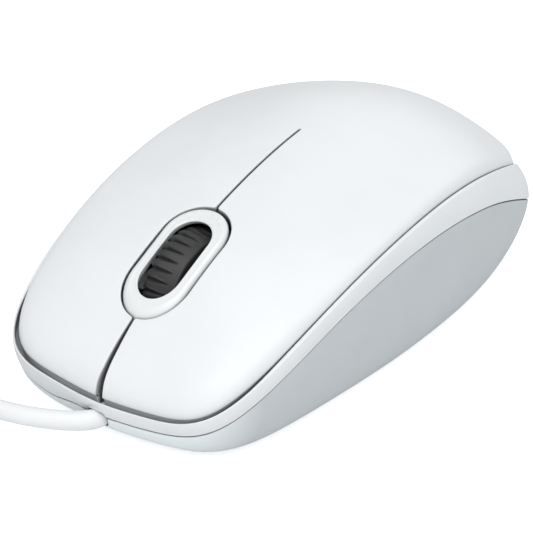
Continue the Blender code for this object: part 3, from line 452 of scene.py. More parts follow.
# ================================================================ materials
class Shader:
    """Short calls for the shader nodes used here; each returns an output socket."""

    def __init__(self, tree):
        self.tree = tree
        self.surface = tree.nodes.get("Principled BSDF")
        self.coords = self.new("TexCoord").outputs

    def new(self, kind):
        return self.tree.nodes.new("ShaderNode" + kind)

    def feed(self, socket, value):
        """Links a socket, or sets a number or an RGB colour."""
        if isinstance(value, bpy.types.NodeSocket):
            self.tree.links.new(value, socket)
        elif isinstance(value, tuple):
            socket.default_value = (*value, 1.0)
        else:
            socket.default_value = value

    def set(self, name, value):
        self.feed(self.surface.inputs[name], value)

    def noise(self, scale, detail=2.0, rough=0.5, at=None):
        n = self.new("TexNoise")
        self.feed(n.inputs["Scale"], scale)
        self.feed(n.inputs["Detail"], detail)
        self.feed(n.inputs["Roughness"], rough)
        self.feed(n.inputs["Vector"], at or self.coords["Object"])
        return n.outputs["Fac"]

    def remap(self, value, to=(0, 1), of=(0.3, 0.7)):
        n = self.new("MapRange")
        self.feed(n.inputs["Value"], value)
        for key, number in zip(("From Min", "From Max", "To Min", "To Max"), (*of, *to)):
            self.feed(n.inputs[key], number)
        return n.outputs["Result"]

    def mix(self, fac, a, b):
        n = self.new("Mix")
        n.data_type = "RGBA"
        for i, value in ((0, fac), (6, a), (7, b)):
            self.feed(n.inputs[i], value)
        return n.outputs[2]

    def maths(self, operation, a, b):
        n = self.new("Math")
        n.operation = operation
        self.feed(n.inputs[0], a)
        self.feed(n.inputs[1], b)
        return n.outputs[0]

    def split(self, vector, axis):
        n = self.new("SeparateXYZ")
        self.feed(n.inputs[0], vector)
        return n.outputs[axis]

    def scaled(self, scale):
        n = self.new("Mapping")
        n.inputs["Scale"].default_value = scale
        self.feed(n.inputs["Vector"], self.coords["Object"])
        return n.outputs["Vector"]

    def bump(self, height, strength, distance, under=None):
        """Bump on the surface; distance in metres, under is a bump below this one."""
        n = self.new("Bump")
        self.feed(n.inputs["Strength"], strength)
        self.feed(n.inputs["Distance"], distance)
        self.feed(n.inputs["Height"], height)
        if under is not None:
            self.feed(n.inputs["Normal"], under)
        self.set("Normal", n.outputs["Normal"])
        return n.outputs["Normal"]


def new_material(name):
    m = bpy.data.materials.new(name)
    m.use_nodes = True
    return m, Shader(m.node_tree)


def times(rgb, factor, top=math.inf):
    return tuple(min(top, c * factor) for c in rgb)


def plastic(name, rgb, rough=0.4, var=0.05, grain=3200, grain_depth=0.000006, tint=0.02,
            sss=0.0, coat=0.0, coat_rough=0.3, swirl=70, crevice_shade=0.0, reach=0.0015, open_at=0.72,
            nose=0.0, tail_open=None):
    """Moulded plastic: fine grain, slow changes of gloss (var) and shade (tint, swirl).
    Painted shade: crevices within reach metres that are less open than open_at (tail_open towards
    the tail) are darkened by ambient occlusion, down to the crevice factor times the colour.
    Painted light: nose brightens the nose end."""
    m, sh = new_material(name)
    slow = sh.noise(scale=swirl, detail=3.0, rough=0.55)
    fine = sh.noise(scale=grain, rough=0.6)
    mid = sh.noise(scale=900)
    colour = sh.mix(sh.remap(slow), times(rgb, 1 - tint), times(rgb, 1 + tint * 0.6, top=1.0))
    # Painted light: the nose end of the part is made brighter
    if nose:
        along = sh.split(sh.coords["Object"], axis=1)
        nose_light_share = sh.remap(along, to=(1.0, 0.0), of=(-0.055, -0.044))
        colour = sh.mix(nose_light_share, colour, times(rgb, nose, top=0.86))
    # Painted shade: ambient occlusion darkens crevices and the gaps between parts
    if crevice_shade:
        ao = sh.new("AmbientOcclusion")
        ao.samples = 6
        ao.inputs["Distance"].default_value = reach
        openness = sh.remap(ao.outputs["AO"], of=(0.12, open_at))
        if tail_open:
            along = sh.split(sh.coords["Object"], axis=1)
            limit = sh.remap(along, to=(tail_open, open_at), of=(-0.030, -0.050))
            sh.feed(openness.node.inputs["From Max"], limit)
        colour = sh.mix(openness, times(rgb, crevice_shade), colour)
    sh.set("Base Color", colour)
    sh.set("Roughness", sh.maths("ADD", sh.remap(slow, to=(rough - var, rough + var)),
                                 sh.remap(mid, to=(-var * 0.5, var * 0.5))))
    sh.bump(fine, strength=0.6, distance=grain_depth)
    sh.set("Coat Weight", coat)
    sh.set("Coat Roughness", coat_rough)
    if sss:
        sh.set("Subsurface Weight", sss)
        sh.surface.inputs["Subsurface Radius"].default_value = (0.0016, 0.0014, 0.0012)
        sh.set("Subsurface Scale", 1.0)
    return m


def rubber(name, rgb, rough):
    """Soft black rubber: mottled sheen, fine pores, patches of dust."""
    m, sh = new_material(name)
    slow = sh.noise(scale=260, detail=4.0, rough=0.6)
    fine = sh.noise(scale=5200, detail=3.0, rough=0.65)
    dust = sh.noise(scale=1500, detail=4.0, rough=0.7)
    base = sh.mix(sh.remap(slow), times(rgb, 0.75), times(rgb, 1.35))
    dusty = sh.remap(dust, to=(0, 0.10), of=(0.55, 0.8))
    sh.set("Base Color", sh.mix(dusty, base, (0.06, 0.06, 0.058)))
    sh.set("Roughness", sh.remap(slow, to=(rough - 0.08, rough + 0.08)))
    sh.set("Sheen Weight", 0.03)
    sh.set("Sheen Roughness", 0.45)
    pores = sh.maths("ADD", fine, sh.maths("MULTIPLY", dust, 0.6))
    sh.bump(pores, strength=0.7, distance=0.000015)
    return m


def metal(name, rgb, rough, stretch=(1, 1, 1)):
    """Drawn or rolled metal; stretch scales the fine lines along each axis."""
    m, sh = new_material(name)
    brushed = sh.noise(scale=1800, detail=3.0, rough=0.6, at=sh.scaled(stretch))
    slow = sh.noise(scale=180, detail=3.0)
    sh.set("Base Color", sh.mix(sh.remap(slow), times(rgb, 0.88), rgb))
    sh.set("Metallic", 1.0)
    sh.set("Roughness", sh.maths("ADD", sh.remap(brushed, to=(rough - 0.08, rough + 0.08)),
                                 sh.remap(slow, to=(-0.03, 0.05))))
    sh.bump(brushed, strength=0.4, distance=0.000004)
    return m


def clear(name, rgb, rough=0.06):
    """Clear plastic with slightly uneven gloss."""
    m, sh = new_material(name)
    slow = sh.noise(scale=300)
    sh.set("Base Color", sh.mix(sh.remap(slow), times(rgb, 0.96), rgb))
    sh.set("Transmission Weight", 0.85)
    sh.set("IOR", 1.49)
    sh.set("Roughness", sh.remap(slow, to=(rough, rough + 0.08)))
    sh.bump(sh.noise(scale=900), strength=0.2, distance=0.000004)
    return m


def circuit_board(name):
    """Green solder mask over copper tracks, with the laminate's weave showing faintly."""
    m, sh = new_material(name)
    turned = sh.scaled((1, 1, 1))
    turned.node.inputs["Rotation"].default_value = (0, 0, math.radians(90))
    brick = sh.new("TexBrick")
    for key, value in {"Scale": 170.0, "Mortar Size": 0.06, "Color1": (0, 0, 0),
                       "Color2": (0.12, 0.12, 0.12), "Mortar": (1, 1, 1),
                       "Vector": turned}.items():
        sh.feed(brick.inputs[key], value)
    region = sh.remap(sh.noise(scale=60, detail=1.0, rough=0.4), of=(0.48, 0.5))
    tracks = sh.maths("MULTIPLY", brick.outputs["Color"], region)
    weave = sh.noise(scale=2600)
    base = sh.mix(sh.remap(sh.noise(scale=90)), (0.012, 0.10, 0.035), (0.02, 0.15, 0.055))
    sh.set("Base Color", sh.mix(sh.maths("MULTIPLY", tracks, 0.75), base, (0.05, 0.30, 0.10)))
    sh.set("Roughness", sh.remap(weave, to=(0.24, 0.36)))
    raised = sh.bump(tracks, strength=0.5, distance=0.00004)
    sh.bump(weave, strength=0.25, distance=0.000008, under=raised)
    return m


def blank_label(name):
    """Blank film label: matte coat with a faint fibre."""
    m, sh = new_material(name)
    fibre = sh.noise(scale=1400, detail=4.0, rough=0.65, at=sh.scaled((1, 6, 1)))
    slow = sh.noise(scale=120, detail=3.0)
    sh.set("Base Color", sh.mix(sh.remap(fibre), (0.54, 0.55, 0.56), (0.64, 0.65, 0.66)))
    sh.set("Roughness", sh.maths("ADD", sh.remap(slow, to=(0.38, 0.5)),
                                 sh.remap(fibre, to=(-0.04, 0.04))))
    sh.bump(fibre, strength=0.3, distance=0.000008)
    return m


# The crevice factors below paint shade into gaps and recesses
MATERIALS = {
    "cover_white": (plastic, dict(
        rgb=(0.81, 0.825, 0.835), var=0.03, coat=0.10, coat_rough=0.28, sss=0.02,
        crevice_shade=0.07, reach=0.0018, open_at=0.82, tail_open=0.46)),
    "band_white": (plastic, dict(
        rgb=(0.79, 0.805, 0.815), rough=0.36, var=0.04, grain=2600, coat=0.12, coat_rough=0.25,
        sss=0.02, crevice_shade=0.12, reach=0.0018, open_at=0.80, tail_open=0.46)),
    # The base's nose factor paints light on its nose end
    "base_grey": (plastic, dict(
        rgb=(0.565, 0.60, 0.61), rough=0.50, grain=1700, grain_depth=0.000014, tint=0.03,
        crevice_shade=0.6, nose=1.42)),
    "bezel_white": (plastic, dict(
        rgb=(0.80, 0.815, 0.82), rough=0.30, var=0.04, coat=0.2, coat_rough=0.18, sss=0.02,
        crevice_shade=0.35, reach=0.0030, open_at=0.9)),
    "tyre_black": (rubber, dict(rgb=(0.026, 0.026, 0.0268), rough=0.5)),
    "hub_black": (plastic, dict(rgb=(0.028, 0.028, 0.03), rough=0.42, var=0.08, tint=0.25)),
    "cradle_white": (plastic, dict(
        rgb=(0.60, 0.60, 0.58), rough=0.5, grain=1400, grain_depth=0.00001,
        crevice_shade=0.05, reach=0.012, open_at=0.9)),
    "spring_steel": (metal, dict(rgb=(0.62, 0.61, 0.58), rough=0.26)),
    "board_green": (circuit_board, {}),
    "chip_black": (plastic, dict(
        rgb=(0.018, 0.018, 0.02), rough=0.55, var=0.08, grain=1500, grain_depth=0.00002,
        tint=0.3)),
    "lens_clear": (clear, dict(rgb=(0.9, 0.94, 0.95))),
    "led_red": (clear, dict(rgb=(0.8, 0.05, 0.035), rough=0.1)),
    "switch_black": (plastic, dict(rgb=(0.026, 0.026, 0.027), rough=0.45, var=0.07, tint=0.25)),
    "plunger_white": (plastic, dict(rgb=(0.83, 0.83, 0.79))),
    "cable_white": (plastic, dict(
        rgb=(0.83, 0.84, 0.845), rough=0.46, var=0.06, grain=2400, grain_depth=0.00001,
        sss=0.06, swirl=140)),
    "wire_red": (plastic, dict(rgb=(0.55, 0.03, 0.02), rough=0.42, tint=0.12)),
    "wire_green": (plastic, dict(rgb=(0.03, 0.32, 0.07), rough=0.42, tint=0.12)),
    "wire_white": (plastic, dict(rgb=(0.78, 0.78, 0.77), rough=0.42)),
    "wire_black": (plastic, dict(rgb=(0.02, 0.02, 0.02), rough=0.42, tint=0.25)),
    "header_cream": (plastic, dict(rgb=(0.78, 0.74, 0.62), rough=0.45, tint=0.05)),
    "screw_steel": (metal, dict(rgb=(0.56, 0.56, 0.57), rough=0.3)),
    "foot_grey": (plastic, dict(
        rgb=(0.22, 0.23, 0.24), rough=0.34, var=0.1, grain=900, grain_depth=0.00001, tint=0.1)),
    "label_grey": (blank_label, {}),
    "shell_steel": (metal, dict(rgb=(0.72, 0.72, 0.73), rough=0.22, stretch=(1, 8, 1))),
    "can_blue": (plastic, dict(rgb=(0.04, 0.07, 0.24), rough=0.3, tint=0.15)),
    "contact_gold": (metal, dict(rgb=(0.86, 0.66, 0.30), rough=0.2, stretch=(1, 6, 1))),
}
MAT = {name: make(name, **values) for name, (make, values) in MATERIALS.items()}
SLOT_OF = {s["node"]: s["material_slot"] for s in frame["record"]["subparts"]}
for name, ob in NODES.items():
    ob.data.materials.clear()
    ob.data.materials.append(MAT[SLOT_OF[name]])

# ================================================================ cover: palm and two fingers
N_OUT = 46                                  # steps from the inner edge out to the seam
OUTWARD = 1 - (1 - np.arange(N_OUT + 1) / N_OUT) ** 2.2
EDGE_R = 0.24                               # rounding of slit and hole edges
EDGE_ARC = np.radians([15, 32, 50, 70, 90])
SKIRT_ROWS = ((0.12, 0.02), (0.5, 0.45), (1.3, 0.6), (SKIRT, 0.6))  # drop, tuck-in at the nose
CHAIN_START_Y = -47.9                       # front end of the finger's inner edge
CHAIN_STEP = 0.05


def slit_at(y):
    """Half width of the slit, which widens towards the nose."""
    return SLIT_HALF + 0.22 * smoothstep((-45.0 - y) / 9) + 0.32 * smoothstep((-53.2 - y) / 3.6)


def rim_angle(axis, value, lo, hi):
    """Angle of the seam point whose x (axis 0) or y (axis 1) is value, between lo and hi."""
    for _ in range(50):
        mid = (lo + hi) / 2
        if float(upper_xy(np.array([mid]))[axis][0]) > value:
            lo = mid
        else:
            hi = mid
    return (lo + hi) / 2


FLEX_ANGLE = rim_angle(1, FLEX_Y, 0.3, 2.6)


def finger_edge(centre_x):
    """Inner edge of the +X finger: along the slit, round the wheel opening, back along the
    slit. Returns eased plan points, directions into the gap and shares of the run."""
    step, turn = CHAIN_STEP, CHAIN_STEP / HOLE_R
    first = math.asin((SLIT_HALF - centre_x) / HOLE_R)
    cut = HOLE_R * (1 - math.cos(first))
    front_y, rear_y = BEZEL_FRONT - HOLE_R + cut, BEZEL_REAR + HOLE_R - cut
    pts = [(slit_at(y), y) for y in np.arange(CHAIN_START_Y, front_y, step)]
    pts += [(centre_x + HOLE_R * math.sin(a), BEZEL_FRONT - HOLE_R * math.cos(a))
            for a in np.arange(first, math.pi / 2, turn)]
    pts += [(centre_x + HOLE_R, y) for y in np.arange(BEZEL_FRONT, BEZEL_REAR, step)]
    pts += [(centre_x + HOLE_R * math.cos(a), BEZEL_REAR + HOLE_R * math.sin(a))
            for a in np.arange(0, math.pi / 2 - first, turn)]
    pts += [(SLIT_HALF, y) for y in np.arange(rear_y, FLEX_Y + 0.01, step)]
    pts = np.array(pts, float)
    run = run_length(pts)
    s = np.arange(0, run[-1], step)
    line = smoothed(resample(s, run, pts), step, spread=0.34, reach=24)
    tangent = unit(np.gradient(line, axis=0))
    # more points where the edge bends
    heading = np.unwrap(np.arctan2(tangent[:, 1], tangent[:, 0]))
    density = 1.5 + 3.2 * np.minimum(np.abs(np.gradient(heading, step)), 1.0)
    total = np.r_[0, np.cumsum((density[1:] + density[:-1]) / 2 * step)]
    at = np.interp(np.linspace(0, total[-1], int(total[-1]) + 1), total, s)
    line, tangent = resample(at, s, line), unit(resample(at, s, tangent))
    to_gap = np.c_[-tangent[:, 1], tangent[:, 0]]
    line[-1] = (SLIT_HALF, FLEX_Y)
    to_gap[0] = to_gap[-1] = (-1, 0)
    return line, to_gap, at / at[-1]


def rim_normal(angle):
    """Outward plan normal of the cover's edge."""
    h = 1e-4
    xa, ya = upper_xy(angle + h)
    xb, yb = upper_xy(angle - h)
    n = unit(np.stack([-(yb - ya), (xb - xa)], -1))
    x, y = upper_xy(angle)
    return n * np.sign(n[..., 0] * x + n[..., 1] * (y - CENTRE_Y))[..., None]


def half_patch(w_in, angle_out, mirror):
    """Top points, top normals, inner face, skirt points and skirt normals of one half."""
    w = w_in[:, None] + (np.exp(1j * angle_out) - w_in)[:, None] * OUTWARD[None, :]
    pts, nrm = cover_point(w), cover_normal(w)
    rim = rim_normal(angle_out)
    inner = pts.copy()
    inner[..., :2] -= rim[:, None, :] * 1.5 * np.abs(w)[..., None] ** 16
    inner[..., 2] -= THICK
    inner[:, -1, 2] = pts[:, -1, 2] - SKIRT
    rim = with_zero_z(rim)
    under = rim * nose_end(angle_out, 0.9)[:, None]
    skirt = np.stack([pts[:, -1] - np.array([0, 0, drop]) - under * tuck
                      for drop, tuck in SKIRT_ROWS], 1)
    skirt_nrm = rim[:, None, :].repeat(len(SKIRT_ROWS), 1)
    patch = pts, nrm, inner, skirt, skirt_nrm
    if mirror:
        for a in patch:
            a[..., 0] *= -1
    return patch


def add_patch(skin, pts, nrm, inner, skirt, skirt_nrm):
    top, side, under = skin.add(pts, nrm), skin.add(skirt, skirt_nrm), skin.add(inner)
    skin.quads(top)
    skin.strip(top[:, -1], side[:, 0])
    skin.quads(side)
    skin.strip(side[:, -1], under[:, -1])
    skin.quads(under)
    return top, side, under


def round_edge(skin, chain, pts, nrm, to_gap, r, inner_chain):
    """Quarter-round rows from a surface edge into the gap, down to the inner face."""
    e3 = with_zero_z(to_gap)
    e3 = unit(e3 - nrm * np.sum(e3 * nrm, 1, keepdims=True))
    r = r[:, None]
    rows = [chain]
    for a in EDGE_ARC:
        row = skin.add(pts + e3 * r * math.sin(a) - nrm * r * (1 - math.cos(a)),
                       nrm * math.cos(a) + e3 * math.sin(a))
        skin.strip(rows[-1], row)
        rows.append(row)
    skin.strip(rows[-1], inner_chain)
    return rows + [inner_chain]


def close_end(skin, top, side, under):
    """Flat end wall across the flex line."""
    for j in range(N_OUT):
        skin.face((top[j], top[j + 1], under[j + 1], under[j]))
    skin.face([top[-1], *side, under[-1]])


def make_finger(name, mirror):
    line, to_gap, share = finger_edge(-BEZEL_X if mirror else BEZEL_X)
    start = line - to_gap * EDGE_R          # the top surface starts one rounding back
    w_in = disc_of(start[:, 0], start[:, 1])

    def nearest(y, barred):
        return int(np.argmin(np.abs(line[:, 1] - y) + 100 * barred))

    # edge points matched with angles along the seam
    on_side = line[:, 0] >= 5
    behind = (line[:, 0] <= 1.2) & (line[:, 1] >= -30)
    matched = [0, nearest(BEZEL_FRONT, ~on_side), nearest(BEZEL_REAR, ~on_side),
               nearest(BEZEL_REAR + HOLE_R, ~behind), len(line) - 1]
    seam_angles = [rim_angle(0, 1.0, math.pi * 0.8, math.pi),
                   *(rim_angle(1, y, 0.3, 2.9) for y in (-46.5, -32.0, -21.5)), FLEX_ANGLE]
    angle_out = np.interp(share, share[matched], seam_angles)
    angle_out = np.convolve(np.pad(angle_out, 4, mode="reflect", reflect_type="odd"),
                            np.ones(9) / 9, "valid")
    angle_out[-1], angle_out[0] = FLEX_ANGLE, seam_angles[0]
    pts, nrm, inner, skirt, skirt_nrm = half_patch(w_in, angle_out, mirror)
    side_x = -1.0 if mirror else 1.0
    to_gap = to_gap * np.array([side_x, 1.0])
    # the boundary chain: up the front corner, back along the slit, round the opening,
    # on to the slit's rear end
    n_skirt = len(SKIRT_ROWS)
    n_front = n_skirt + N_OUT + 1
    front_pts = np.vstack([skirt[0, ::-1], pts[0, ::-1]])
    front_nrm = np.vstack([skirt_nrm[0, ::-1], nrm[0, ::-1]])
    chain_pts = np.vstack([front_pts, pts[1:, 0]])
    chain_nrm = np.vstack([front_nrm, nrm[1:, 0]])
    chain_gap = np.vstack([np.tile([-side_x, 0.0], (n_front, 1)), to_gap[1:]])
    chain_r = np.r_[np.abs(front_pts[:, 0]) - slit_at(front_pts[:, 1]),
                    np.full(len(pts) - 1, EDGE_R)]
    shift = with_zero_z(chain_gap * chain_r[:, None])
    inner[0, :] += shift[n_skirt:n_front][::-1]
    inner[1:, 0] += shift[n_front:]
    skin = Skin()
    top, side, under = add_patch(skin, pts, nrm, inner, skirt, skirt_nrm)
    chain = [*side[0, ::-1], *top[0, ::-1], *top[1:, 0]]
    inner_chain = [under[0, -1]] * n_skirt + [*under[0, ::-1], *under[1:, 0]]
    rows = round_edge(skin, chain, chain_pts, chain_nrm, chain_gap, chain_r, inner_chain)
    skin.face([row[0] for row in rows])
    skin.face([row[-1] for row in rows])
    close_end(skin, top[-1], side[-1], under[-1])
    return skin.build(name, "cover_white", custom=True), pts[-1, :, 1].min()


def make_palm():
    """Palm: the slit's round rear end, then the centre line, fanned out to the seam."""
    n_arc, n_line = 7, 55
    a = np.linspace(0, math.pi / 2, n_arc)
    r = SLIT_HALF + EDGE_R
    arc = np.c_[r * np.cos(a), FLEX_Y + r * np.sin(a)]
    to_gap = -np.c_[np.cos(a), np.sin(a)]
    line_y = FLEX_Y + r + (34.0 - FLEX_Y - r) * np.linspace(0, 1, n_line + 1)[1:] ** 1.15
    start = np.vstack([arc, np.c_[np.zeros(n_line), line_y]])
    w_in = disc_of(start[:, 0], start[:, 1])
    w_in[n_arc - 1:] = np.abs(w_in[n_arc - 1:])
    share = np.arange(len(start)) / (len(start) - 1)
    angle_out = FLEX_ANGLE * (1 - share ** 0.95)
    angle_out[-1] = 0.0
    skin = Skin()
    for mirror in (False, True):
        pts, nrm, inner, skirt, skirt_nrm = half_patch(w_in, angle_out, mirror)
        for a in (pts, inner):
            a[n_arc - 1:, 0, 0] = 0
        for a in (pts, inner, skirt):
            a[-1, :, 0] = 0
        gap = to_gap * np.array([-1.0 if mirror else 1.0, 1.0])
        inner[:n_arc, 0] += with_zero_z(gap * EDGE_R)
        top, side, under = add_patch(skin, pts, nrm, inner, skirt, skirt_nrm)
        rows = round_edge(skin, top[:n_arc, 0], pts[:n_arc, 0], nrm[:n_arc, 0], gap,
                          np.full(n_arc, EDGE_R), under[:n_arc, 0])
        skin.face([row[0] for row in rows])
        close_end(skin, top[0], side[0], under[0])
    return skin.build("cover_palm", "cover_white", custom=True)


left, flex_y = make_finger("cover_finger_left", False)
right, _ = make_finger("cover_finger_right", True)
place(make_palm(), "palm_cover")
for ob, body, node in ((left, "left_finger", "left_button"),
                       (right, "right_finger", "right_button")):
    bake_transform(ob)
    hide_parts(node)

# ================================================================ seam lines of band and base
# Even columns round the body, then fixed columns across the cable outlet at the nose.
OUTLET_HALF = 3.9
N_OUTLET = 44                               # columns on one side of the outlet
N_EVEN = 321


def across(half, middle=0.0):
    """Values for one side of the outlet, mirrored to the other; the last gives way to middle."""
    return np.r_[half[:-1], middle, -half[-2::-1]]


def column_angles():
    table = np.linspace(2.6, math.pi, 4000)
    edge = float(np.interp(-OUTLET_HALF, -superellipse(LOWER, table)[0], table))
    x = OUTLET_HALF * (1 - np.arange(1, N_OUTLET + 1) / N_OUTLET)
    table = np.linspace(2.6, math.pi, 6000)
    half = np.interp(-x, -superellipse(LOWER, table)[0], table)
    return np.r_[np.linspace(-edge, edge, N_EVEN), across(half, math.pi)]


ANGLES = column_angles()
IN_OUTLET = np.arange(len(ANGLES)) >= N_EVEN
x, y = upper_xy(ANGLES)
UPPER_LINE = np.stack([x, y, upper_z(x, y)], -1)
x, y = superellipse(LOWER, ANGLES)
nose_drop = 1.1 * smoothstep((-x - 4) / 8) * smoothstep((-36 - y) / 10)    # on the -X side
LOWER_LINE = np.stack([x, y, lower_z(x, y) - nose_drop], -1)
x, y = superellipse(FOOT, ANGLES)
FOOT_LINE = np.stack([x, y, 0 * x + FLOOR], -1)
UPPER_OUT, LOWER_OUT, FOOT_OUT = map(outline_normal, (UPPER_LINE, LOWER_LINE, FOOT_LINE))
UP = np.array([0.0, 0.0, 1.0])


def nose_wall_y(x, z):
    """Depth of the base wall at the nose for places x, z below the lower seam."""
    part = slice(N_EVEN - 1, N_EVEN + N_OUTLET)
    angle = np.interp(-np.abs(x), -LOWER_LINE[part, 0], ANGLES[part])
    angle = np.where(np.abs(x) < OUTLET_HALF, angle, math.pi)
    x0, y0 = superellipse(LOWER, angle)
    z0 = lower_z(x0, y0)
    y1 = superellipse(FOOT, angle)[1]
    down = np.clip((z - z0) / (FLOOR - z0), 0, 1)
    return y1 + (y0 - y1) * np.cos(np.arcsin(down ** (WALL_POWER / 2))) ** (2 / WALL_POWER)


def nose_line_y(x, line):
    """y of a seam line at places x across the nose."""
    near = line[N_EVEN - 1:]
    near = near[np.argsort(near[:, 0])]
    return np.interp(x, near[:, 0], near[:, 1])


# edges of the cable outlet on the +X side, as (x, z)
ARCH_R = CABLE_R + 0.3
NOSE_SEAM_Z = float(lower_z(0.0, -56.5))


def arch(first, n, up):
    return [(ARCH_R * math.cos(a), CABLE_Z + up * ARCH_R * math.sin(a))
            for a in np.linspace(first, math.pi / 2, n)]


def outlet_edge(points, spread):
    """x and z of an outlet edge over the columns of both sides."""
    half = eased_line(points, N_OUTLET + 1, spread)[1:]
    return across(half[:, 0]), np.r_[half[:, 1], half[-2::-1, 1]]


arch_start = math.asin(min(0.98, (NOSE_SEAM_Z + SEAM_LAP - CABLE_Z) / ARCH_R))
BAND_X, BAND_Z = outlet_edge([(OUTLET_HALF, NOSE_SEAM_Z + SEAM_LAP), *arch(arch_start, 40, 1)], 0.1)
notch = arch(math.asin(0.95 / ARCH_R), 30, -1)
BASE_X, BASE_Z = outlet_edge(
    [(OUTLET_HALF, NOSE_SEAM_Z - SEAM_LAP), (ARCH_R + 0.28, NOSE_SEAM_Z - SEAM_LAP),
     (ARCH_R + 0.16, CABLE_Z), (notch[0][0] + 0.1, 3.85), *notch], 0.09)


# ================================================================ band
def make_band():
    upper_y = UPPER_LINE[:, 1]
    tail = smoothstep((upper_y - 8) / 30)
    bow = 0.25 + 0.45 * smoothstep((upper_y - 12) / 38) + 0.15 * tail
    inset = 0.20 + 0.36 * smoothstep((-38 - upper_y) / 14)
    # over the outlet the upper row takes even columns
    top = UPPER_LINE.copy()
    top[N_EVEN:, 0] = across(np.linspace(OUTLET_HALF, 0, N_OUTLET + 1)[1:])
    top[N_EVEN:, 1] = nose_line_y(top[N_EVEN:, 0], UPPER_LINE)
    top[:, 2] = upper_z(top[:, 0], top[:, 1])
    low = LOWER_LINE + UP * SEAM_LAP
    wall_y = np.where(BAND_Z < NOSE_SEAM_Z, nose_wall_y(BAND_X, BAND_Z) - 0.03,
                      nose_line_y(BAND_X, LOWER_LINE))
    low[N_EVEN:] = np.stack([BAND_X, wall_y, BAND_Z], -1)

    def off(out, up):
        return top + UPPER_OUT * out[:, None] + UP * up[:, None]

    inner_top = off(inset, 0 * inset)
    inner_top[:, 2] = np.maximum(LOWER_LINE[:, 2] + 1.0, UPPER_LINE[:, 2] - 2.4)
    corner = off(SEAM + 0.62 - 0.36 * tail, -0.05 + 0.12 * tail)
    side = [corner * (1 - t) + low * t + LOWER_OUT * (bow * 4 * t * (1 - t))[:, None]
            for t in (0.14, 0.3, 0.46, 0.62, 0.78, 0.9)]
    depth = np.where(IN_OUTLET & (low[:, 2] < NOSE_SEAM_Z), 1.6, 2.2)[:, None]
    rows = rounded([inner_top, off(inset, 0 * inset - 0.2), corner, *side, low,
                    low - LOWER_OUT * depth],
                   [0, 0.22, 0.34, 0, 0, 0, 0, 0, 0, 0.22, 0], n=6)
    return loft("side_band", rows, "band_white", closed=True, sharp=42)


place(make_band(), "middle_band")

# ================================================================ base
PIVOT_Y, PIVOT_Z = -8.0, 15.0
POST_TOP = 7.0 - 0.3                        # tops of the four short posts
SCREW_POST, PILOT_POST = (0, 34), (-14, 8)
SENSOR_Y = 9.0
POSTS = (                                   # x, y, radius, top
    (*SCREW_POST, 4.2, 12.0), (*PILOT_POST, 2.7, POST_TOP), (15, 8, 1.9, POST_TOP),
    (-17, -42, 1.9, POST_TOP), (17, -42, 1.9, POST_TOP))


def wall_row(top, foot, t):
    """Row a share t of the way down a curved wall."""
    a = t * math.pi / 2
    row = foot + (top - foot) * math.cos(a) ** (2 / WALL_POWER)
    row[:, 2] = top[:, 2] + (foot[:, 2] - top[:, 2]) * math.sin(a) ** (2 / WALL_POWER)
    return row


def base_skin():
    plain_top = LOWER_LINE - LOWER_OUT * 0.1 - UP * SEAM_LAP
    top = plain_top.copy()
    notch_y = nose_wall_y(BASE_X, np.minimum(BASE_Z, NOSE_SEAM_Z - 0.02))
    top[N_EVEN:] = np.stack([BASE_X, notch_y, BASE_Z], -1)

    def outer_row(t):
        """Row t of the outer wall; over the cable outlet it starts at the notch."""
        row = wall_row(plain_top, FOOT_LINE, t)
        x = BASE_X + (FOOT_LINE[N_EVEN:, 0] - BASE_X) * smoothstep(t)
        z = BASE_Z + (FLOOR - BASE_Z) * (1 - (1 - t) ** 1.3)
        row[N_EVEN:] = np.stack([x, nose_wall_y(x, z), z], -1)
        return row

    inner_top = top - LOWER_OUT * 1.7
    outer = [outer_row(t) for t in np.linspace(0, 1, 34)[1:]]
    head = rounded([inner_top, top, outer[2]], [0, 0.22, 0], n=5)[:-1]
    floor_rows = [FOOT_LINE - FOOT_OUT * d for d in (0.8, 2.0)]
    inner_foot = FOOT_LINE - FOOT_OUT * 1.9
    inner_foot[:, 2] = FLOOR + FLOOR_T
    skin = Skin()
    outside = skin.add(head + outer[2:] + floor_rows, weld=False)
    skin.quads(outside, close_v=True)
    inside = skin.add([wall_row(inner_top, inner_foot, t) for t in np.linspace(0, 1, 9)[1:]],
                      weld=False)
    skin.quads(inside, close_v=True)
    for j in range(len(ANGLES)):
        k = (j + 1) % len(ANGLES)
        skin.face((outside[0][j], outside[0][k], inside[0][k], inside[0][j]))
    skin.face(outside[-1])
    skin.face(inside[-1][::-1])
    return skin.build("base_shell", "base_grey")


def pocket(pad_size, top):
    half, front, rear = pad_size
    return block((-half - POCKET_GAP, front - POCKET_GAP, -1),
                 (half + POCKET_GAP, rear + POCKET_GAP, top))


def make_base():
    base = base_skin()
    sunk = FLOOR + 0.5
    adds = [rod(r, (x, y, sunk), (x, y, top), 40) for x, y, r, top in POSTS]
    adds += [side_block(side, 6.0, 9.0, (PIVOT_Y - 2.6, PIVOT_Y + 2.6), (sunk, PIVOT_Z + 3.0))
             for side in (1, -1)]
    boolean(base, adds, "UNION")
    cuts = [rod(1.12, (-12, PIVOT_Y, PIVOT_Z), (12, PIVOT_Y, PIVOT_Z)),
            rod(1.5, (*SCREW_POST, -1), (*SCREW_POST, 14)),
            rod(3.2, (*SCREW_POST, -1), (*SCREW_POST, 3.4), 48),
            rod(1.25, (*PILOT_POST, 3.0), (*PILOT_POST, 14), 24),
            prism(stadium(SENSOR_Y - 2.5, SENSOR_Y + 3.5, 3.6), "z", -1, 4)]
    cuts += [pocket(size, 1.25) for size in (GLIDE_FRONT, GLIDE_CENTRE, GLIDE_REAR)]
    cuts.append(pocket(LABEL, 1.5))
    boolean(base, cuts, "DIFFERENCE")
    shade(base, 30)
    return base


place(make_base(), "base_case")


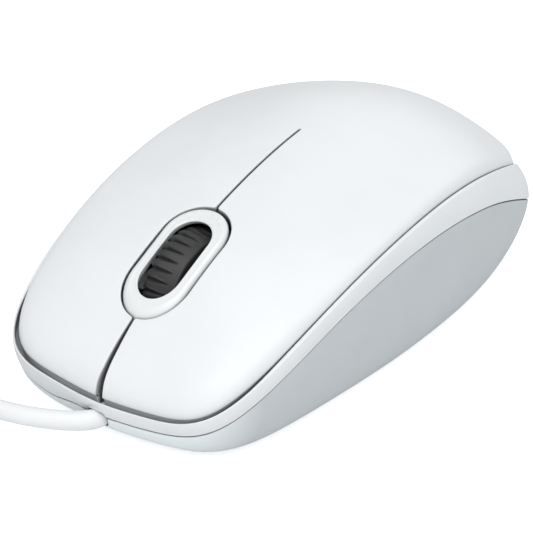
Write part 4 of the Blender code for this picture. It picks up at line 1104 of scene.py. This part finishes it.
# ================================================================ bezel round the wheel
def oval(r, y0, y1, dz):
    """Stadium ring lying dz above the cover's centre line."""
    x, y = np.array(stadium(y0, y1, r, 40)).T
    z = spine_z(np.clip(y, BEZEL_FRONT - BEZEL_R, BEZEL_REAR + BEZEL_R)) + dz
    return np.c_[x + BEZEL_X, y, z]


def oval_mix(f, dz):
    """Oval a share f of the way from the outer to the inner edge."""
    return oval(BEZEL_R + (OPEN_R - BEZEL_R) * f, BEZEL_FRONT + (OPEN_FRONT - BEZEL_FRONT) * f,
                BEZEL_REAR + (OPEN_REAR - BEZEL_REAR) * f, dz)


def make_bezel():
    crest, brink = 0.46, 0.90               # shares where the flat rim starts and ends
    rows = [oval_mix(0, dz) for dz in (-BEZEL_DEPTH, -1.2, -0.95)]
    for a in np.radians([6, 14, 22, 30, 38, 46, 54, 62, 70, 78, 84, 90]):
        rows.append(oval_mix(crest * (1 - math.cos(a)), -0.88 + (BEZEL_PROUD + 0.88) * math.sin(a)))
    for f in (0.5, 0.58, 0.66, 0.74, 0.82, 0.87):
        rows.append(oval_mix(f, BEZEL_PROUD - 0.05 * math.sin((f - crest) / 0.44 * math.pi)))
    for a in np.radians([15, 35, 55, 75, 90]):
        rows.append(oval_mix(brink + 0.10 * math.sin(a), BEZEL_PROUD - 0.24 * (1 - math.cos(a))))
    # down the opening, then flaring under it
    rows += [oval(OPEN_R, OPEN_FRONT, OPEN_REAR + 0.5 * t, 0.16 - 0.76 * t)
             for t in (0.35, 0.65, 1.0)]
    rows += [oval(OPEN_R + 0.9 * t, OPEN_FRONT - 0.1 * t, OPEN_REAR + 0.5 + 0.4 * t, -0.6 - 0.5 * t)
             for t in (0.5, 1.0)]
    rows.append(oval(OPEN_R + 1.1, OPEN_FRONT - 0.1, OPEN_REAR + 1.0, -BEZEL_DEPTH))
    bezel = loft("wheel_frame", rows, "bezel_white", closed=True, sharp=None)
    # stepped leg on each side: bridge, inner riser, outer leg
    z = float(spine_z(-38.4)) - 2.1
    legs = []
    for side in (1, -1):
        legs += [side_block(side, 4.6, 8.3, (-38.4, -36.2), (z - 2.45, z - 1.55)),
                 side_block(side, 5.25, 6.05, (-38.3, -36.3), (z - 2.0, z + 1.2)),
                 side_block(side, 6.9, 8.2, (-38.35, -36.25), (8.5, z - 1.9))]
    boolean(bezel, legs, "UNION")
    shade(bezel, 40)
    return bezel


place(make_bezel(), "wheel_bezel")

# ================================================================ wheel tyre
N_GROOVES, GROOVE_STEPS = 33, 20
TYRE_HALF = WHEEL_W / 2
GROOVE_TIP_X = 1.75                         # where a groove runs out across the tread
SIDE_R, BORE_R, GROOVE_FLOOR_R = 9.3, 8.6, 9.8


def wheel_ring(x, r, turn):
    return np.stack([np.full(len(turn), x), WHEEL_Y + r * np.cos(turn),
                     WHEEL_Z + r * np.sin(turn)], -1)


def tread_r(x):
    """Tread radius, largest on the deeply grooved -X side, falling away towards +X."""
    return (WHEEL_R - 0.05 - 0.35 * np.clip((-1.9 - x) / 1.0, 0, 1) ** 2.0
            - 0.85 * np.clip((x + 1.6) / 4.6, 0, 1) ** 1.35)


def groove(p, x):
    """Depth of the wedge groove at phase p (0..1 round one pitch) and place x."""
    reach = np.clip((GROOVE_TIP_X - x) / (GROOVE_TIP_X + TYRE_HALF), 0, 1)
    u = (p - 0.5) / (0.14 + 0.30 * reach)
    shape = np.where(u < 0, np.clip(1 + u * 2.4, 0, 1), np.clip(1 - u, 0, 1))
    lip = 0.07 * np.exp(-((u + 0.72) / 0.25) ** 2) * (reach > 0)
    return 0.85 * reach ** 0.5 * shape - lip * np.clip(reach * 4, 0, 1)


def make_tyre():
    shoulder_a = tread_r(-TYRE_HALF + 0.3)
    shoulder_b = tread_r(TYRE_HALF - 0.45)
    profile = [(-TYRE_HALF, BORE_R), (-TYRE_HALF, SIDE_R), (-TYRE_HALF, shoulder_a - 0.42)]
    for a in np.radians([20, 40, 60, 80]):
        profile.append((-TYRE_HALF + 0.3 * (1 - math.cos(a)),
                        shoulder_a - 0.42 * (1 - math.sin(a))))
    profile += [(x, tread_r(x)) for x in np.linspace(-TYRE_HALF + 0.42, TYRE_HALF - 0.5, 25)]
    for a in np.radians([75, 55, 35, 15]):
        profile.append((TYRE_HALF - 0.45 * (1 - math.cos(a)),
                        shoulder_b - 0.5 * (1 - math.sin(a))))
    profile += [(TYRE_HALF, shoulder_b - 0.5), (TYRE_HALF, SIDE_R), (TYRE_HALF, BORE_R)]
    steps = np.arange(N_GROOVES * GROOVE_STEPS)
    turn = steps * 2 * np.pi / len(steps)
    phase = (steps % GROOVE_STEPS) / GROOVE_STEPS
    rows = [wheel_ring(x, r - groove(phase, x) * np.clip((r - GROOVE_FLOOR_R) / 0.6, 0, 1), turn)
            for x, r in profile]
    return loft("wheel_tread", rows, "tyre_black", closed=True, sharp=40)


place(make_tyre(), "wheel_tyre", body="scroll_wheel")

# ================================================================ cable
CABLE_START_Y, OUTLET_Y = -48.25, -55.8
BEND_END, BEND_DIR = (-14.3, -63.9), (-0.985, -0.17)
BEND_REACH = 9                              # handle length of the run from bend to plug


def bezier(p0, p1, p2, p3, n):
    """n points of a plan curve, the first end left out."""
    return [tuple((1 - u) ** 3 * p0[k] + 3 * (1 - u) ** 2 * u * p1[k]
                  + 3 * (1 - u) * u * u * p2[k] + u ** 3 * p3[k] for k in (0, 1))
            for u in [i / n for i in range(1, n + 1)]]


def ahead(point, direction, length):
    return tuple(p + length * d for p, d in zip(point, direction))


def make_cable():
    plug_dir = (math.cos(PLUG_TURN), math.sin(PLUG_TURN))
    plan = [(0.0, CABLE_START_Y - 0.59 * i) for i in range(13)] + [(0.0, OUTLET_Y)]
    plan += bezier(plan[-1], (0.0, -59.2), (-7.5, -62.7), BEND_END, 40)
    plan += bezier(BEND_END, ahead(BEND_END, BEND_DIR, BEND_REACH),
                   ahead(PLUG_POS, plug_dir, -BEND_REACH), PLUG_POS, 44)
    plan.append(ahead(PLUG_POS, plug_dir, 2.6))
    run = [0.0]
    for a, b in zip(plan, plan[1:]):
        run.append(run[-1] + math.hypot(b[0] - a[0], b[1] - a[1]))
    # it sinks from the outlet's height to the plug's
    sink_from, sink_to = 8.8, run[-2]
    path = [(x, y, CABLE_Z + (PLUG_Z - CABLE_Z)
             * float(smoothstep((s - sink_from) / (sink_to - sink_from))))
            for (x, y), s in zip(plan, run)]
    return tube("cable", path, CABLE_R, 40, "cable_white")


place(make_cable(), "cable_jacket")

# ================================================================ plug
# Built along +X from the cable end, then turned into place.
PLUG_M = (Matrix.Translation((PLUG_POS[0] * MM, PLUG_POS[1] * MM, PLUG_Z * MM))
          @ Matrix.Rotation(PLUG_TURN, 4, "Z"))
BODY_W, BODY_H = 7.6, 4.0                   # half sizes of the overmould
SHELL_W, SHELL_H, SHEET = 5.98, 2.23, 0.36  # half sizes and thickness of the metal shell
SHELL_BACK, SHELL_END = 22.4, 39.0


def section(x, w, h, power):
    """Rounded-rectangle outline of half sizes w, h in the plane at x."""
    t = (np.arange(72) + 0.5) * 2 * np.pi / 72
    c, s = np.cos(t), np.sin(t)
    r = (np.abs(c) ** power + np.abs(s) ** power) ** (-1 / power)
    return np.stack([np.full(72, x), w * r * c, h * r * s], -1)


def make_overmould():
    """Bore, ribbed bend relief, body with side grips, mouth round the shell."""
    rows = [section(x, r, r, 2)
            for x, r in ((3.4, 2.0), (0.55, 2.0), (0.4, 2.15), (0.4, 2.5), (0.6, 2.7))]
    for i in range(5):
        x = 1.0 + 1.02 * i
        r = 2.7 + 1.0 * (x - 0.4) / 7.6
        for dx, dr in ((0, 0), (0.12, -0.28), (0.46, -0.25), (0.58, 0.07)):
            rows.append(section(x + dx, r + dr, r + dr, 2))
    rows.append(section(6.3, 3.5, 3.45, 2))
    for a in np.radians([0, 15, 30, 45, 60, 75, 90]):
        f = math.sin(a)
        rows.append(section(6.5 + 1.5 * (1 - math.cos(a)), 4.0 + 3.6 * f, 3.5 + 0.5 * f,
                            2.2 + 3.3 * f))
    for x in np.arange(8.6, 24.9, 0.25):
        grip = 0.0
        if 10.0 < x < 21.0:
            grip = 0.32 * (0.5 - 0.5 * math.cos((x - 10.0) / 11.0 * 2 * math.pi * 8))
        waist = 0.25 * math.sin(math.pi * np.clip((x - 8.6) / 16.3, 0, 1))
        rows.append(section(x, BODY_W - grip, BODY_H - waist, 5.5))
    for a in np.radians([20, 45, 70, 90]):
        ease = 0.8 * (1 - math.cos(a))
        rows.append(section(25.7 + 0.8 * math.sin(a), BODY_W - ease, BODY_H - ease, 5.5))
    rows += [section(26.5, 6.35, 2.6, 9), section(26.4, 6.25, 2.5, 9), section(22.0, 6.25, 2.5, 9)]
    return loft("plug_body", rows, "cable_white")


def make_shell():
    """Folded sheet shell with windows above, slots below and a fold seam."""
    stations = (                            # x, inset from the outer face, squareness
        (SHELL_BACK, SHEET, 12), (SHELL_BACK, 0, 10), (27.0, 0, 10), (32.0, 0, 10),
        (36.0, 0, 10), (38.8, 0, 10), (38.96, 0.06, 10), (SHELL_END, 0.18, 10),
        (38.96, 0.30, 12), (38.8, SHEET, 12), (30.0, SHEET, 12))
    rows = [section(x, SHELL_W - inset, SHELL_H - inset, power) for x, inset, power in stations]
    shell = loft("plug_sleeve", rows, "shell_steel", closed=True)
    cuts = [block((32.0, s * 2.9 - 1.1, 0.5), (34.2, s * 2.9 + 1.1, 4)) for s in (1, -1)]
    cuts += [block((27.0, s * 2.9 - 0.35, -4), (29.4, s * 2.9 + 0.35, -0.6)) for s in (1, -1)]
    cuts.append(block((26.6, -0.05, -2.6), (40, 0.05, -2.08)))
    boolean(shell, cuts, "DIFFERENCE")
    shade(shell, 30)
    return shell


def make_tongue():
    """Contact carrier with four grooves, the outer two longer."""
    tongue = block((SHELL_BACK, -5.32, -0.18), (38.35, 5.32, 1.58), name="plug_carrier")
    boolean(tongue, [block((25.0, y - 0.55, -1.0), (end, y + 0.55, -0.06))
                     for y, end in ((-3.5, 38.0), (-1.0, 37.0), (1.0, 37.0), (3.5, 38.0))],
            "DIFFERENCE")
    bevel = tongue.modifiers.new("ease", "BEVEL")
    bevel.width, bevel.segments = 0.03 * MM, 2
    bevel.limit_method, bevel.angle_limit = "ANGLE", math.radians(40)
    apply_modifiers(tongue)
    tongue.data.materials.clear()
    tongue.data.materials.append(MAT["header_cream"])
    shade(tongue, 30)
    return tongue


for make, slot, node in ((make_overmould, "cable_white", "plug_overmould"),
                         (make_shell, "shell_steel", "plug_shell"),
                         (make_tongue, "header_cream", "plug_tongue")):
    ob = make()
    ob.data.transform(PLUG_M)
    place(ob, node)


# ================================================================ glide pads and label
def make_pad(name, size, z0, z1, corner, edge, slot):
    """Flat pad with rounded plan corners and a rounded lower edge."""
    half, y0, y1 = size
    centres = ((half - corner, y1 - corner, 0), (-half + corner, y1 - corner, 90),
               (-half + corner, y0 + corner, 180), (half - corner, y0 + corner, 270))

    def ring(inset, z):
        r = max(corner - inset, 0.02)
        return [(x + r * math.cos(a), y + r * math.sin(a), z)
                for x, y, first in centres for a in np.radians(first + np.linspace(0, 90, 9))]

    rows = [ring(0.05, z1), ring(0.0, z1 - 0.05), ring(0.0, z0 + edge)]
    for a in np.radians([22, 45, 68, 90]):
        rows.append(ring(edge * (1 - math.cos(a)), z0 + edge * (1 - math.sin(a))))
    return loft(name, rows, slot)


for name, size, node in (("glide_front", GLIDE_FRONT, "front_glide_foot"),
                         ("glide_rear", GLIDE_REAR, "rear_glide_foot"),
                         ("glide_centre", GLIDE_CENTRE, "centre_glide_foot")):
    glide = make_pad(name, size, z0=0.0, z1=0.95, corner=2.2, edge=0.22, slot="foot_grey")
    place(glide, node)
film = make_pad("label_film", LABEL, z0=0.9, z1=1.2, corner=1.4, edge=0.06, slot="label_grey")
place(film, "blank_label")

# ================================================================ wheel hub
AXLE_R = 1.0
N_WINDOWS = 10
HUB_PROFILE = [                             # x, radius
    (-5.5, 0.0), (-5.5, AXLE_R - 0.25), (-5.3, AXLE_R), (-3.45, AXLE_R), (-3.0, 2.05),
    (-2.85, 2.2), (-0.75, 2.2), (-0.6, 2.4), (-0.6, 6.95), (-0.8, 7.2), (-3.0, 7.2),
    (-3.1, 7.3), (-3.1, 8.25), (-3.05, 8.3), (3.05, 8.3), (3.1, 8.25), (3.1, 7.3),
    (3.0, 7.2), (0.8, 7.2), (0.6, 6.95), (0.6, 2.4), (0.75, 2.2), (2.55, 2.2), (2.6, 2.3),
    (2.6, 2.9), (2.7, 3.0), (3.6, 3.0), (3.7, 2.9), (3.7, AXLE_R), (5.3, AXLE_R),
    (5.5, AXLE_R - 0.25), (5.5, 0.0)]
WINDOW = ((3.4, -0.55), (6.3, -0.8), (6.3, 0.8), (3.4, 0.55))    # radial, tangential


def make_hub():
    """Turned carrier with axle, toothed collar and a web with windows."""
    turn = np.arange(96) * 2 * np.pi / 96
    rows = []
    for x, r in HUB_PROFILE:
        radii = np.full(96, max(r, 0.02))
        if 2.65 < x < 3.65 and r > 2.8:
            radii = radii - 0.18 * (0.5 - 0.5 * np.cos(turn * 24))
        rows.append(wheel_ring(x, radii, turn))
    hub = loft("wheel_core", rows, "hub_black", sharp=34)
    windows = []
    for k in range(N_WINDOWS):
        t = 2 * math.pi * (k + 0.5) / N_WINDOWS
        c, s = math.cos(t), math.sin(t)
        windows.append(prism([(WHEEL_Y + c * a - s * w, WHEEL_Z + s * a + c * w)
                              for a, w in WINDOW], "x", -1.5, 1.5))
    boolean(hub, windows, "DIFFERENCE")
    shade(hub, 34)
    return hub


place(make_hub(), "wheel_hub", body="scroll_wheel")

# ================================================================ return spring
# Stands under the cradle, its end turns closed.
COIL_R, SPRING_WIRE_R, TURNS = 1.25, 0.2, 6
END_RUN, END_RISE = 0.09, 0.08              # share of the wire and of the height in an end turn

solid = NODES["cradle_spring"]
corners = np.array([tuple(solid.matrix_world @ v.co) for v in solid.data.vertices]) / MM
lo, hi = corners.min(axis=0), corners.max(axis=0)
spring_x, spring_y = (lo[0] + hi[0]) / 2, (lo[1] + hi[1]) / 2
z0, z1 = lo[2] + SPRING_WIRE_R, hi[2] - SPRING_WIRE_R
path = []
for u in np.linspace(0, 1, 161):
    rise = float(np.clip((u - END_RUN) / 0.82, 0, 1)) * 0.84
    rise += END_RISE * min(1, u / END_RUN) + END_RISE * max(0, (u - 0.91) / END_RUN)
    turn = 2 * math.pi * TURNS * u
    path.append((spring_x + COIL_R * math.cos(turn), spring_y + COIL_R * math.sin(turn),
                 z0 + (z1 - z0) * rise))
spring = tube("return_spring", path, SPRING_WIRE_R, 10, "spring_steel")
place(spring, "cradle_spring")
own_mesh(spring)

# ================================================================ stage (metres)
FLOOR_HALF, FLOOR_Z = 6.0, -0.0001
SKY = (0.97, 0.985, 1.0)


def make_floor():
    """White floor that looks brighter to the camera than to the light it bounces."""
    me = bpy.data.meshes.new("floor")
    me.from_pydata([(x * FLOOR_HALF, y * FLOOR_HALF, FLOOR_Z)
                    for x, y in ((-1, -1), (1, -1), (1, 1), (-1, 1))], [], [(0, 1, 2, 3)])
    floor = bpy.data.objects.new("floor", me)
    SCENE.collection.objects.link(floor)
    m, sh = new_material("floor_white")
    seen = sh.new("LightPath").outputs["Is Camera Ray"]
    sh.set("Roughness", 0.9)
    sh.set("Specular IOR Level", 0.05)
    sh.set("Emission Color", SKY)
    sh.set("Emission Strength", sh.remap(seen, to=(0.17, 0.62), of=(0.0, 1.0)))
    pale = sh.mix(sh.remap(sh.noise(scale=6)), (0.93, 0.935, 0.94), (0.95, 0.955, 0.96))
    sh.set("Base Color", sh.mix(seen, (0.66, 0.665, 0.67), pale))
    me.materials.append(m)
    return floor


def make_world():
    """Plain bright backdrop; as a light it grows from -X to +X."""
    world = bpy.data.worlds.new("studio")
    SCENE.world = world
    world.use_nodes = True
    sh = Shader(world.node_tree)
    background = world.node_tree.nodes["Background"]
    sh.feed(background.inputs["Color"], SKY)
    seen = sh.new("LightPath").outputs["Is Camera Ray"]
    glow = sh.remap(sh.split(sh.coords["Generated"], axis=0), to=(0.34, 0.72), of=(-0.9, 0.9))
    glow = sh.maths("MULTIPLY", glow, sh.maths("SUBTRACT", 1.0, seen))
    sh.feed(background.inputs["Strength"], sh.maths("ADD", glow, seen))


def area(name, where, size, power, target=(0, 0, 0.02)):
    light = bpy.data.lights.new(name, "AREA")
    light.energy, light.shape = power, "RECTANGLE"
    light.size, light.size_y = size
    ob = bpy.data.objects.new(name, light)
    SCENE.collection.objects.link(ob)
    ob.location = where
    ob.rotation_mode = "QUATERNION"
    ob.rotation_quaternion = (Vector(target) - Vector(where)).to_track_quat("-Z", "Y")


make_floor()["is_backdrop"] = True
make_world()
area("key", where=(0.06, -0.30, 0.85), size=(0.7, 0.7), power=4.1)
area("fill", where=(0.6, -0.6, 0.45), size=(0.6, 0.5), power=1.3)
area("front", where=(-0.2, -0.9, 0.06), size=(0.9, 0.12), power=0.5, target=(0, 0, 0.01))
area("back", where=(-0.2, 0.75, 0.5), size=(0.8, 0.4), power=0.8)

# ================================================================ camera
AZIMUTH, ELEVATION, ROLL = (math.radians(a) for a in (37.6268, 28.3669, -0.2299))
DISTANCE, TARGET = 386.952, (1.4146, -11.0628, 15.0)
LENS, SENSOR = 143.465444, 36.0


def make_camera():
    back = Vector((math.sin(AZIMUTH) * math.cos(ELEVATION),
                   -math.cos(AZIMUTH) * math.cos(ELEVATION), math.sin(ELEVATION)))
    across_, up = Vector((math.cos(AZIMUTH), math.sin(AZIMUTH), 0)), None
    up = across_.cross(-back)
    c, s = math.cos(ROLL), math.sin(ROLL)
    across_, up = across_ * c + up * s, up * c - across_ * s
    data = bpy.data.cameras.new("camera")
    data.sensor_width, data.lens = SENSOR, LENS
    data.clip_start, data.clip_end = 0.01, 50
    camera = bpy.data.objects.new("camera", data)
    SCENE.collection.objects.link(camera)
    camera.matrix_world = Matrix((across_, up, back)).transposed().to_4x4()
    camera.location = Vector(TARGET) * MM + back * DISTANCE * MM
    SCENE.camera = camera


make_camera()
SCENE.view_settings.view_transform = "Standard"

lo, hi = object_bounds()
